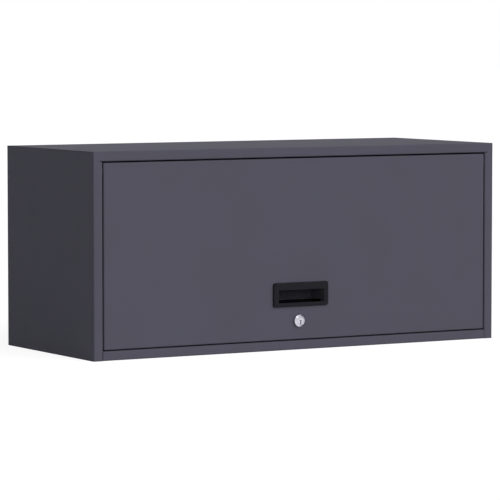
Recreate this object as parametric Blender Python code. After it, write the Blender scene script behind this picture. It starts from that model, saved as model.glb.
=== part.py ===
"""Garage wall cabinet: a welded sheet-steel body with one flip-up door, a recessed pull,
a cam lock and two gas struts. Metres, +Z up, the door faces -Y, and the origin is at the
bottom centre of the whole object."""

import math

import bmesh
import bpy
from mathutils import Matrix, Vector

# Overall size of the cabinet body
CABINET_WIDTH = 0.800
CABINET_DEPTH = 0.325
CABINET_HEIGHT = 0.348

# Sheet steel and the clearances between pieces
SHEET = 0.001
SHEET_BEND = 0.0012
SEAM = 0.0003
OVERRUN = 0.004

# Body frame: rails and stiles folded from the panels
TOP_FACE = 0.0165
BOTTOM_FACE = 0.01605
STILE_FACE = 0.01735
JAMB_DEPTH = 0.0216
TOP_LIP = 0.012
STOP_DEPTH = 0.022
STOP_HEIGHT = 0.012
REAR_FLANGE = 0.015
SIDE_TOP_FLANGE = 0.012
PAN_FLANGE = 0.012
BACK_INSET = 0.0015
BACK_CORNER_RADIUS = 0.002
FLANGE_SETBACK = 0.006

# Hanging rails and the wall screw holes, set in from the body's sides, top and bottom
WALL_HOLE_INSET_X = 0.080
WALL_HOLE_INSET_Z = 0.050
WALL_HOLE_RADIUS = 0.004
RAIL_SHEET = 0.0015
RAIL_HEIGHT = 0.040
RAIL_LEG = 0.008

# Door, with a wider gap above it, where its upper edge swings past the rail
DOOR_GAP = 0.0019
DOOR_TOP_GAP = 0.0024
DOOR_SKIN_DEPTH = 0.0187
DOOR_EDGE_RADIUS = 0.002
DOOR_LIP = 0.012
LINER_INSET = 0.0015
LINER_CORNER_RADIUS = 0.003
STIFFENER_WIDTH = 0.040
STIFFENER_FLANGE = 0.014

# Hinge pivots at the door's upper corners
HINGE_DROP = 0.014
HINGE_SETBACK = 0.009
PIN_RADIUS = 0.003
PIN_HEAD_RADIUS = 0.005
PIN_HEAD_LENGTH = 0.002
PIN_REACH = 0.0055
PIN_CHAMFER = 0.0005
BUSH_WALL = 0.0018
BUSH_FLANGE_RADIUS = 0.0075
BUSH_FLANGE_LENGTH = 0.0012
BUSH_LENGTH = 0.0052
RUNNING_CLEARANCE = 0.00025
HINGE_BRACKET_SHEET = 0.002
HINGE_BRACKET_DEPTH = 0.017
HINGE_BRACKET_HEIGHT = 0.030
HINGE_PLATE_SHEET = 0.003
HINGE_PLATE_HEIGHT = 0.024
HINGE_PLATE_CHAMFER = 0.0008

# Recessed pull
PULL_WIDTH = 0.1096
PULL_HEIGHT = 0.0417
PULL_CENTRE_Z = 0.09575
PULL_PROUD = 0.0042
PULL_CORNER_RADIUS = 0.004
PULL_EDGE_RADIUS = 0.0018
PULL_MOUTH_WIDTH = 0.0930
PULL_MOUTH_HEIGHT = 0.0227
PULL_MOUTH_CENTRE_Z = 0.09265
PULL_BACK_WIDTH = 0.0620
PULL_DRAFT = 0.001
PULL_WALL = 0.0018
PULL_LINER_CLEARANCE = 0.0006
PULL_BACK_STEP = 0.001
PULL_CUTOUT_CLEARANCE = 0.0006
PULL_UNDERCUT = 0.0024
PULL_SLOT_HEIGHT = 0.0042
PULL_LEDGE_STEP = 0.0022
PULL_LEDGE_LIP = 0.0009
PULL_LEDGE_RISE = 0.0034
PULL_RIB_WIDTH = 0.010
PULL_RIB_HEIGHT = 0.0016
PULL_RIB_DEPTH = 0.004
PULL_RIB_SPACING = 0.060

# Cam lock, a little left of the middle, with its keyway from just above the axis to well below it
LOCK_CENTRE_X = -0.0024
LOCK_CENTRE_Z = 0.050
LOCK_PROUD = 0.0058
LOCK_HEAD_RADIUS = 0.0105
LOCK_HEAD_CHAMFER = 0.003
LOCK_BARREL_RADIUS = 0.009
LOCK_BARREL_END = 0.0250
LOCK_BORE_RADIUS = 0.0065
LOCK_NUT_RADIUS = 0.0135
LOCK_NUT_LENGTH = 0.004
PLUG_RECESS = 0.0004
PLUG_TANG_WIDTH = 0.008
KEYWAY_WIDTH = 0.0018
KEYWAY_TOP = 0.0015
KEYWAY_BOTTOM = 0.0055
KEYWAY_DEPTH = 0.016
CAM_SHEET = 0.002
CAM_LENGTH = 0.034
CAM_WIDTH = 0.016
CAM_CORNER_RADIUS = 0.004
CAM_SCREW_RADIUS = 0.0018
CAM_SCREW_LENGTH = 0.008
CAM_SCREW_HEAD_RADIUS = 0.0052
CAM_SCREW_HEAD_LENGTH = 0.002
STRIKE_WIDTH = 0.050
STRIKE_SHEET = 0.002
STRIKE_SETBACK = 0.001
CAM_PLAY = 0.0006

# Rubber bumpers on the bottom stop
BUMPER_RADIUS = 0.004
BUMPER_INSET = 0.100
BUMPER_CROWN_SHARE = 0.7

# Gas struts, one at each side. The cabinet pivot is measured back and down from the
# hinge axis, and so is the door pivot with the door closed.
STRUT_INSET = 0.028
CABINET_PIVOT_BACK = 0.026
CABINET_PIVOT_DROP = 0.021
DOOR_PIVOT_BACK = 0.026
DOOR_PIVOT_DROP = 0.185
TUBE_RADIUS = 0.0075
TUBE_WALL = 0.0012
TUBE_CHAMFER = 0.0008
ROD_SHOW = 0.0114
ROD_RADIUS = 0.003
GLAND_LENGTH = 0.008
PISTON_LENGTH = 0.005
PISTON_MARGIN = 0.014
SOCKET_RADIUS = 0.0065
SOCKET_REACH = 0.012
SOCKET_NOSE = 0.008
SOCKET_CHAMFER = 0.001
BALL_RADIUS = 0.005
STUD_NECK_RADIUS = 0.0025
STUD_COLLAR_RADIUS = 0.0055
STUD_COLLAR_LENGTH = 0.002
STUD_SHANK_RADIUS = 0.003
STUD_RIVET_RADIUS = 0.0045
STUD_RIVET_LENGTH = 0.0015
STUD_CROWN_SHARE = 0.6
STRUT_BRACKET_SHEET = 0.002
STRUT_BRACKET_WIDTH = 0.024
STRUT_BRACKET_RISE = 0.015
STRUT_BRACKET_CROWN = 0.022
STRUT_BRACKET_FOOT = 0.014
DOOR_BRACKET_BASE = 0.022
DOOR_BRACKET_RISE = 0.022
DOOR_BRACKET_HEIGHT = 0.028
DOOR_BRACKET_OFFSET = 0.012
SCREW_RADIUS = 0.0019
SCREW_HEAD_RADIUS = 0.0037
SCREW_HEAD_LENGTH = 0.0022
SCREW_LENGTH = 0.008
SCREW_SPACING = 0.015
SCREW_CROWN_SHARE = 0.7

# Fineness of the faceted surfaces
BEND_STEPS = 3
SOFT_STEPS = 2
ARC_STEPS = 4
TURNED_STEPS = 24
SMALL_TURNED_STEPS = 16
LOCK_STEPS = 32
BALL_RINGS = 8
MERGE = 0.00001
SHARP_ANGLE = math.radians(35)

# Places worked out from the sizes above
HALF_WIDTH = CABINET_WIDTH / 2
FRONT = (LOCK_PROUD - CABINET_DEPTH) / 2
REAR = FRONT + CABINET_DEPTH
PANEL_REAR = REAR - SHEET - SEAM
FLANGE_FRONT = PANEL_REAR - SHEET - SEAM
WALL_INSIDE = HALF_WIDTH - SHEET
WALL_REACH = WALL_INSIDE - SEAM
JAMB_FACE = HALF_WIDTH - STILE_FACE
JAMB_BACK = JAMB_FACE + SHEET + SEAM
TOP_RAIL_EDGE = CABINET_HEIGHT - TOP_FACE
TOP_UNDERSIDE = CABINET_HEIGHT - SHEET - SEAM
DOOR_HALF_WIDTH = JAMB_FACE - DOOR_GAP
DOOR_BOTTOM = BOTTOM_FACE + DOOR_GAP
DOOR_TOP = TOP_RAIL_EDGE - DOOR_TOP_GAP
SKIN_REAR = FRONT + DOOR_SKIN_DEPTH
LINER_FRONT = SKIN_REAR + SEAM
LINER_REAR = LINER_FRONT + SHEET
STOP_FACE = FRONT + STOP_DEPTH
STRIKE_FRONT = STOP_FACE + SHEET + SEAM
STRIKE_REAR = STRIKE_FRONT + STRIKE_SHEET
CAM_FRONT = FRONT + LOCK_BARREL_END + CAM_PLAY
HINGE_Y = FRONT + HINGE_SETBACK
HINGE_Z = DOOR_TOP - HINGE_DROP
HINGE_POINT = Vector((0, HINGE_Y, HINGE_Z))
LOCK_POINT = Vector((LOCK_CENTRE_X, FRONT, LOCK_CENTRE_Z))
STRUT_X = HALF_WIDTH - STRUT_INSET
CABINET_PIVOT = Vector((0, HINGE_Y + CABINET_PIVOT_BACK, HINGE_Z - CABINET_PIVOT_DROP))
DOOR_PIVOT = Vector((0, HINGE_Y + DOOR_PIVOT_BACK, HINGE_Z - DOOR_PIVOT_DROP))
PULL_BOTTOM = PULL_MOUTH_CENTRE_Z - PULL_MOUTH_HEIGHT / 2
PULL_TOP = PULL_MOUTH_CENTRE_Z + PULL_MOUTH_HEIGHT / 2


def linear(channel):
    """Linear value of one sRGB channel."""
    if channel <= 0.04045:
        return channel / 12.92
    return ((channel + 0.055) / 1.055) ** 2.4


def make_material(name, hex_colour, roughness, metallic):
    """Principled material of one plain finish."""
    material = bpy.data.materials.new(name)
    material.use_nodes = True
    shader = material.node_tree.nodes["Principled BSDF"]
    channels = [int(hex_colour[i : i + 2], 16) / 255 for i in (0, 2, 4)]
    colour = [linear(channel) for channel in channels] + [1.0]
    shader.inputs["Base Color"].default_value = colour
    shader.inputs["Roughness"].default_value = roughness
    shader.inputs["Metallic"].default_value = metallic
    material.diffuse_color = colour
    return material


def make_empty(name, place, parent=None, turn=None):
    """Empty that marks a joint's axis and carries the pieces that move about it."""
    empty = bpy.data.objects.new(name, None)
    bpy.context.collection.objects.link(empty)
    matrix = Matrix.Translation(place)
    if turn is not None:
        matrix = matrix @ turn
    if parent:
        empty.parent = parent
        matrix = parent.matrix_world.inverted() @ matrix
    empty.matrix_local = matrix
    bpy.context.view_layer.update()
    return empty


def make_object(name, mesh_data, material=None, origin=None, parent=None, turn=None):
    """Object from a bmesh. World coordinates are moved to the origin given, or, with a
    turn, the mesh is taken as local to that origin and turned about it."""
    bmesh.ops.recalc_face_normals(mesh_data, faces=mesh_data.faces)
    origin = Vector(origin) if origin else Vector()
    if turn is None:
        bmesh.ops.translate(mesh_data, verts=mesh_data.verts, vec=-origin)
        turn = Matrix.Identity(4)
    mesh = bpy.data.meshes.new(name)
    mesh_data.to_mesh(mesh)
    mesh_data.free()
    mesh.shade_smooth()
    mesh.set_sharp_from_angle(angle=SHARP_ANGLE)
    obj = bpy.data.objects.new(name, mesh)
    bpy.context.collection.objects.link(obj)
    matrix = Matrix.Translation(origin) @ turn
    if parent:
        obj.parent = parent
        matrix = parent.matrix_world.inverted() @ matrix
    obj.matrix_local = matrix
    if material:
        mesh.materials.append(material)
    bpy.context.view_layer.update()
    return obj


def boolean(target, other, operation):
    """Cuts the other shape from the target, or joins it on, and hides the other, which
    then moves with the target."""
    other.hide_render = True
    other.display_type = "WIRE"
    other.parent = target.parent
    other.matrix_parent_inverse = target.parent.matrix_world.inverted()
    modifier = target.modifiers.new(operation.title(), "BOOLEAN")
    modifier.operation = operation
    modifier.solver = "EXACT"
    modifier.object = other


def cut(target, *cutters):
    for cutter in cutters:
        boolean(target, cutter, "DIFFERENCE")


def join(target, *others):
    for other in others:
        boolean(target, other, "UNION")


def cuboid(low, high):
    """Bmesh of a block between two corners."""
    block = bmesh.new()
    bmesh.ops.create_cube(block, size=1)
    low, high = Vector(low), Vector(high)
    for vert in block.verts:
        vert.co = (low + high) / 2 + Vector(side * size for side, size in zip(vert.co, high - low))
    return block


def box(name, low, high, **settings):
    """Block between two corners."""
    return make_object(name, cuboid(low, high), **settings)


def frustum(name, front, rear, **settings):
    """Six-sided block between two upright rectangles, each given as the half width,
    the bottom and the top height, and the Y of its bottom and top edges."""
    block = bmesh.new()
    rings = []
    for half_width, bottom, top, bottom_y, top_y in (front, rear):
        rings.append([
            block.verts.new((-half_width, bottom_y, bottom)),
            block.verts.new((half_width, bottom_y, bottom)),
            block.verts.new((half_width, top_y, top)),
            block.verts.new((-half_width, top_y, top)),
        ])
    loops = []
    for ring in rings:
        block.faces.new(ring)
        loops += [block.edges.get((a, b)) for a, b in zip(ring, ring[1:] + ring[:1])]
    bmesh.ops.bridge_loops(block, edges=loops)
    return make_object(name, block, **settings)


def fillet(before, corner, after, radius):
    """Points of the arc that rounds one corner of a path."""
    into, out = (corner - before).normalized(), (after - corner).normalized()
    turn = math.atan2(into.x * out.y - into.y * out.x, into.dot(out))
    start = corner - into * radius * math.tan(abs(turn) / 2)
    centre = start + Vector((-into.y, into.x)) * math.copysign(radius, turn)
    turns = [Matrix.Rotation(turn * step / BEND_STEPS, 2) for step in range(BEND_STEPS + 1)]
    return [centre + part_turn @ (start - centre) for part_turn in turns]


def rounded_path(corners, radii):
    """Open path through the corners, with each inner corner rounded."""
    points = [corners[0]]
    for before, corner, after, radius in zip(corners, corners[1:], corners[2:], radii):
        points += fillet(before, corner, after, radius)
    return points + [corners[-1]]


def sheet_section(face, thickness, bend=SHEET_BEND):
    """Closed outline of a folded sheet. The face runs through its corners with the
    thickness on its left, and bend is the radius inside each fold."""
    face = [Vector(corner) for corner in face]
    ways = [(b - a).normalized() for a, b in zip(face, face[1:])]
    lefts = [Vector((-way.y, way.x)) for way in ways]
    back, face_radii, back_radii = [face[0] + lefts[0] * thickness], [], []
    for corner, way_in, way_out, left_in, left_out in zip(face[1:], ways, ways[1:], lefts, lefts[1:]):
        back.append(corner + (left_in + left_out) * thickness / (1 + left_in.dot(left_out)))
        folds_left = way_in.x * way_out.y - way_in.y * way_out.x > 0
        face_radii.append(bend + thickness if folds_left else bend)
        back_radii.append(bend if folds_left else bend + thickness)
    back.append(face[-1] + lefts[-1] * thickness)
    return rounded_path(face, face_radii) + rounded_path(back, back_radii)[::-1]


def rounded_rectangle(low_x, high_x, low_z, high_z, radius):
    """Closed outline of a rectangle with round corners."""
    corners = (
        (high_x - radius, high_z - radius),
        (low_x + radius, high_z - radius),
        (low_x + radius, low_z + radius),
        (high_x - radius, low_z + radius),
    )
    points = []
    for quarter, (x, z) in enumerate(corners):
        for step in range(ARC_STEPS + 1):
            angle = math.pi / 2 * (quarter + step / ARC_STEPS)
            points.append((x + radius * math.cos(angle), z + radius * math.sin(angle)))
    return points


# Where the two coordinates of an outline and its depth go, for an extrusion along each axis
PLANES = {
    "X": lambda a, b, depth: (depth, a, b),
    "Y": lambda a, b, depth: (a, depth, b),
    "Z": lambda a, b, depth: (a, b, depth),
}


def extrusion(name, outline, axis, start, end, soft_start=0, **settings):
    """Outline extruded along one axis from start to end, with its start edges rounded."""
    place = PLANES[axis]
    block = bmesh.new()
    base = block.faces.new([block.verts.new(place(a, b, start)) for a, b in outline])
    grown = bmesh.ops.extrude_face_region(block, geom=[base])
    moved = [item for item in grown["geom"] if isinstance(item, bmesh.types.BMVert)]
    bmesh.ops.translate(block, verts=moved, vec=place(0, 0, end - start))
    if soft_start:
        bmesh.ops.bevel(
            block,
            geom=list(base.edges),
            offset=soft_start,
            segments=SOFT_STEPS,
            profile=0.5,
            affect="EDGES",
            material=-1,
        )
    return make_object(name, block, **settings)


def turned(name, profile, steps=TURNED_STEPS, **settings):
    """Solid of revolution about local Z. The profile is a closed or pole-to-pole line of
    radius and height."""
    block = bmesh.new()
    points = [block.verts.new((radius, 0, height)) for radius, height in profile]
    pairs = list(zip(points, points[1:]))
    if profile[0][0] > 0:
        pairs.append((points[-1], points[0]))
    edges = [block.edges.new(pair) for pair in pairs]
    bmesh.ops.spin(
        block,
        geom=points + edges,
        cent=(0, 0, 0),
        axis=(0, 0, 1),
        angle=math.tau,
        steps=steps,
        use_merge=True,
    )
    bmesh.ops.remove_doubles(block, verts=block.verts, dist=MERGE)
    bmesh.ops.dissolve_degenerate(block, edges=block.edges, dist=MERGE)
    return make_object(name, block, **settings)


def drill(name, place, radius, length, turn, steps=TURNED_STEPS):
    """Cutter for a round hole, centred on its place."""
    half = length / 2
    return turned(
        name,
        [(0, half), (radius, half), (radius, -half), (0, -half)],
        steps=steps,
        origin=place,
        turn=turn,
    )


ALONG_X = Matrix.Rotation(math.pi / 2, 4, "Y")
ALONG_MINUS_X = Matrix.Rotation(-math.pi / 2, 4, "Y")
ALONG_Y = Matrix.Rotation(-math.pi / 2, 4, "X")
ALONG_MINUS_Y = Matrix.Rotation(math.pi / 2, 4, "X")
SIDES = (("left", -1), ("right", 1))


def mirrored(outline, side):
    """Outline drawn for the left side (side -1), or its mirror image for the right."""
    return [(-side * a, b) for a, b in outline]


def span(side, near, far):
    """Low and high X of a stretch between two distances from the middle, on one side."""
    return sorted((side * near, side * far))


def make_cabinet(steel, plated, nylon, rubber, cabinet):
    """Sheet-metal body and what is fixed to it."""
    body = {"material": steel, "parent": cabinet}

    # Top panel: the sheet covers both side panels, and its front is folded down as the top rail
    top_face = [
        (PANEL_REAR, CABINET_HEIGHT - REAR_FLANGE),
        (PANEL_REAR, CABINET_HEIGHT),
        (FRONT, CABINET_HEIGHT),
        (FRONT, TOP_RAIL_EDGE),
        (FRONT + TOP_LIP, TOP_RAIL_EDGE),
    ]
    top = extrusion("top_panel", sheet_section(top_face, SHEET), "X", -HALF_WIDTH, HALF_WIDTH, **body)
    below_top = TOP_RAIL_EDGE - OVERRUN
    for name, side in SIDES:
        lip_end = box(
            f"cut_top_lip_{name}",
            (span(side, WALL_REACH, HALF_WIDTH + OVERRUN)[0], FRONT + SHEET + SEAM, below_top),
            (span(side, WALL_REACH, HALF_WIDTH + OVERRUN)[1], REAR, TOP_UNDERSIDE),
        )
        flange_x = span(side, HALF_WIDTH - REAR_FLANGE - SEAM, WALL_REACH + SEAM)
        flange_end = box(
            f"cut_top_flange_{name}",
            (flange_x[0], FLANGE_FRONT - SHEET_BEND, below_top),
            (flange_x[1], REAR, TOP_UNDERSIDE),
        )
        cut(top, lip_end, flange_end)

    # Bottom panel: a pan between the side panels, whose front makes the bottom rail and the door stop
    bottom_face = [
        (STOP_FACE, BOTTOM_FACE + STOP_HEIGHT),
        (STOP_FACE, BOTTOM_FACE),
        (FRONT, BOTTOM_FACE),
        (FRONT, 0),
        (PANEL_REAR, 0),
        (PANEL_REAR, REAR_FLANGE),
    ]
    bottom_section = sheet_section(bottom_face, SHEET)
    bottom = extrusion("bottom_panel", bottom_section, "X", -WALL_REACH, WALL_REACH, **body)
    pan_front = STRIKE_REAR + FLANGE_SETBACK
    pan_rear = FLANGE_FRONT - FLANGE_SETBACK
    for name, side in SIDES:
        # Clearing the stile and jamb leaves only the floor, which closes the corner between them
        rail_x = span(side, JAMB_FACE - SEAM, HALF_WIDTH + OVERRUN)
        rail_top = BOTTOM_FACE + STOP_HEIGHT + OVERRUN
        rail_front = box(
            f"cut_bottom_rail_{name}",
            (rail_x[0], FRONT - OVERRUN, -OVERRUN),
            (rail_x[1], FRONT + SHEET + SHEET_BEND + SEAM, rail_top),
        )
        rail_end = box(
            f"cut_bottom_stop_{name}",
            (rail_x[0], FRONT - OVERRUN, SHEET + SEAM),
            (rail_x[1], STOP_FACE + SHEET + SEAM, rail_top),
        )
        jamb_x = span(side, JAMB_FACE - SEAM, JAMB_BACK)
        jamb_slot = box(
            f"cut_jamb_slot_{name}",
            (jamb_x[0], FRONT - OVERRUN, -OVERRUN),
            (jamb_x[1], FRONT + JAMB_DEPTH + SEAM, rail_top),
        )
        flange_x = span(side, HALF_WIDTH - REAR_FLANGE - SEAM, HALF_WIDTH)
        flange_end = box(
            f"cut_bottom_flange_{name}",
            (flange_x[0], FLANGE_FRONT - SHEET_BEND, -OVERRUN),
            (flange_x[1], REAR, REAR_FLANGE + OVERRUN),
        )
        cut(bottom, rail_front, rail_end, jamb_slot, flange_end)
        upright_x = span(side, WALL_REACH - SHEET, WALL_REACH)
        upright = box(
            f"join_bottom_flange_{name}",
            (upright_x[0], pan_front, SHEET / 2),
            (upright_x[1], pan_rear, PAN_FLANGE),
        )
        join(bottom, upright)

    # Side panels: the front edge is folded in as the stile and back again as the jamb
    wall_top = TOP_UNDERSIDE
    for name, side in SIDES:
        side_face = [
            (REAR_FLANGE - HALF_WIDTH, PANEL_REAR),
            (-HALF_WIDTH, PANEL_REAR),
            (-HALF_WIDTH, FRONT),
            (-JAMB_FACE, FRONT),
            (-JAMB_FACE, FRONT + JAMB_DEPTH),
        ]
        section = mirrored(sheet_section(side_face, SHEET), side)
        panel = extrusion(f"{name}_side_panel", section, "Z", 0, wall_top, **body)
        stile_top = TOP_RAIL_EDGE - SEAM
        jamb_x = span(side, JAMB_FACE - OVERRUN, JAMB_FACE + SHEET + OVERRUN)
        jamb_top = box(
            f"cut_jamb_top_{name}",
            (jamb_x[0], FRONT - OVERRUN, stile_top),
            (jamb_x[1], FRONT + JAMB_DEPTH + OVERRUN, CABINET_HEIGHT),
        )
        stile_x = span(side, JAMB_FACE - OVERRUN, HALF_WIDTH + OVERRUN)
        stile_end = box(
            f"cut_stile_top_{name}",
            (stile_x[0], FRONT - OVERRUN, stile_top),
            (stile_x[1], FRONT + SHEET + SEAM * 2, CABINET_HEIGHT),
        )
        bush_hole = drill(
            f"cut_jamb_bush_{name}",
            (side * (JAMB_FACE + SHEET / 2), HINGE_Y, HINGE_Z),
            PIN_RADIUS + RUNNING_CLEARANCE + BUSH_WALL + SEAM,
            SHEET + OVERRUN,
            ALONG_X,
        )
        cut(panel, jamb_top, stile_end, bush_hole)
        flange_x = span(side, HALF_WIDTH - SIDE_TOP_FLANGE, HALF_WIDTH - SHEET / 2)
        top_flange = box(
            f"join_side_flange_{name}",
            (flange_x[0], FRONT + JAMB_DEPTH + FLANGE_SETBACK, wall_top - SHEET - SEAM),
            (flange_x[1], FLANGE_FRONT - FLANGE_SETBACK, wall_top - SEAM),
        )
        join(panel, top_flange)

    # Back panel: a flat sheet over the rear flanges
    back_half = HALF_WIDTH - BACK_INSET
    back_top = CABINET_HEIGHT - BACK_INSET
    back_outline = rounded_rectangle(-back_half, back_half, BACK_INSET, back_top, BACK_CORNER_RADIUS)
    back = extrusion("back_panel", back_outline, "Y", REAR - SHEET, REAR, **body)

    # Hanging rails: channels inside the back that the wall screws pull on
    rail_half = WALL_REACH - SHEET_BEND
    rail_levels = (("upper", CABINET_HEIGHT - WALL_HOLE_INSET_Z), ("lower", WALL_HOLE_INSET_Z))
    for level, height in rail_levels:
        rail_face = [
            (FLANGE_FRONT - RAIL_LEG, height - RAIL_HEIGHT / 2),
            (FLANGE_FRONT, height - RAIL_HEIGHT / 2),
            (FLANGE_FRONT, height + RAIL_HEIGHT / 2),
            (FLANGE_FRONT - RAIL_LEG, height + RAIL_HEIGHT / 2),
        ]
        section = sheet_section(rail_face, RAIL_SHEET)
        rail = extrusion(f"{level}_hanging_rail", section, "X", -rail_half, rail_half, **body)
        for name, side in SIDES:
            place = (side * (HALF_WIDTH - WALL_HOLE_INSET_X), (FLANGE_FRONT + REAR) / 2, height)
            hole = drill(
                f"cut_wall_hole_{level}_{name}",
                place,
                WALL_HOLE_RADIUS,
                RAIL_LEG + OVERRUN * 2,
                ALONG_Y,
            )
            cut(rail, hole)
            cut(back, hole)

    # Strike plate: stiffens the stop where the cam pulls against it
    strike_outline = rounded_rectangle(
        -STRIKE_WIDTH / 2,
        STRIKE_WIDTH / 2,
        BOTTOM_FACE - SHEET + STRIKE_SETBACK,
        BOTTOM_FACE + STOP_HEIGHT - STRIKE_SETBACK,
        STRIKE_SETBACK,
    )
    extrusion("strike_plate", strike_outline, "Y", STRIKE_FRONT, STRIKE_REAR, material=plated, parent=cabinet)

    # Rubber bumpers: they stick to the stop and meet the closed door
    bumper_length = STOP_FACE - LINER_REAR - SEAM * 2
    bumper_profile = [
        (0, bumper_length),
        (BUMPER_RADIUS * BUMPER_CROWN_SHARE, bumper_length),
        (BUMPER_RADIUS, bumper_length / 2),
        (BUMPER_RADIUS, 0),
        (0, 0),
    ]
    for name, side in SIDES:
        turned(
            f"{name}_door_bumper",
            bumper_profile,
            material=rubber,
            origin=(side * (HALF_WIDTH - BUMPER_INSET), STOP_FACE - SEAM, BOTTOM_FACE + STOP_HEIGHT / 2),
            parent=cabinet,
            turn=ALONG_MINUS_Y,
        )

    # Hinge brackets: channels behind the jambs that hold the bushes
    bush_radius = PIN_RADIUS + RUNNING_CLEARANCE + BUSH_WALL
    for name, side in SIDES:
        bracket_face = [
            (-WALL_REACH, FRONT + SHEET + SEAM + HINGE_BRACKET_DEPTH),
            (-WALL_REACH, FRONT + SHEET + SEAM),
            (-JAMB_BACK, FRONT + SHEET + SEAM),
            (-JAMB_BACK, FRONT + SHEET + SEAM + HINGE_BRACKET_DEPTH),
        ]
        section = mirrored(sheet_section(bracket_face, HINGE_BRACKET_SHEET), side)
        bracket = extrusion(
            f"{name}_hinge_bracket",
            section,
            "Z",
            HINGE_Z - HINGE_BRACKET_HEIGHT / 2,
            HINGE_Z + HINGE_BRACKET_HEIGHT / 2,
            material=plated,
            parent=cabinet,
        )
        hole_x = side * (JAMB_BACK + HINGE_BRACKET_SHEET / 2)
        hole = drill(
            f"cut_bracket_bush_{name}",
            (hole_x, HINGE_Y, HINGE_Z),
            bush_radius + SEAM,
            HINGE_BRACKET_SHEET + OVERRUN,
            ALONG_X,
        )
        cut(bracket, hole)

        # Nylon bushes: the flange keeps the door off the jamb
        bore = PIN_RADIUS + RUNNING_CLEARANCE
        bush_profile = [
            (bore, BUSH_FLANGE_LENGTH),
            (BUSH_FLANGE_RADIUS, BUSH_FLANGE_LENGTH),
            (BUSH_FLANGE_RADIUS, 0),
            (bush_radius, 0),
            (bush_radius, -BUSH_LENGTH),
            (bore, -BUSH_LENGTH),
        ]
        turned(
            f"{name}_hinge_bush",
            bush_profile,
            material=nylon,
            origin=(side * (JAMB_FACE - SEAM), HINGE_Y, HINGE_Z),
            parent=cabinet,
            turn=ALONG_MINUS_X if side > 0 else ALONG_X,
        )


def ball_profile(neck_end):
    """Ball on its neck, from the pole down to the neck's end, centred on the ball."""
    pole_to_neck = math.pi - math.asin(STUD_NECK_RADIUS / BALL_RADIUS)
    points = [
        (
            BALL_RADIUS * math.sin(pole_to_neck * ring / BALL_RINGS),
            BALL_RADIUS * math.cos(pole_to_neck * ring / BALL_RINGS),
        )
        for ring in range(BALL_RINGS + 1)
    ]
    points[0] = (0, BALL_RADIUS)
    return points + [(STUD_NECK_RADIUS, neck_end)]


def rivet_profile(seat, grip):
    """Collar, shank and riveted end of a stud, with the collar's seat at the given height
    and the sheet that it grips below."""
    collar_top = seat + STUD_COLLAR_LENGTH
    rivet_top = seat - grip - SEAM * 2
    rivet_end = rivet_top - STUD_RIVET_LENGTH
    return [
        (STUD_COLLAR_RADIUS, collar_top),
        (STUD_COLLAR_RADIUS, seat),
        (STUD_SHANK_RADIUS, seat),
        (STUD_SHANK_RADIUS, rivet_top),
        (STUD_RIVET_RADIUS, rivet_top),
        (STUD_RIVET_RADIUS * STUD_CROWN_SHARE, rivet_end),
        (0, rivet_end),
    ]


def pan(name, low, high, lip, edge_radius, **settings):
    """Folded sheet tray that is open at +Y, with a lip turned in round its opening."""
    shell = cuboid(low, high)
    outer_edges = list(shell.edges)
    mouth = max(shell.faces, key=lambda face: face.calc_center_median().y)
    bmesh.ops.inset_region(shell, faces=[mouth], thickness=lip)
    bmesh.ops.delete(shell, geom=[mouth], context="FACES")
    bmesh.ops.bevel(
        shell,
        geom=outer_edges,
        offset=edge_radius,
        segments=BEND_STEPS,
        profile=0.5,
        affect="EDGES",
        material=-1,
    )
    tray = make_object(name, shell, **settings)
    solidify = tray.modifiers.new("Sheet", "SOLIDIFY")
    solidify.thickness = SHEET
    solidify.offset = -1
    solidify.use_even_offset = True
    return tray


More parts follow.
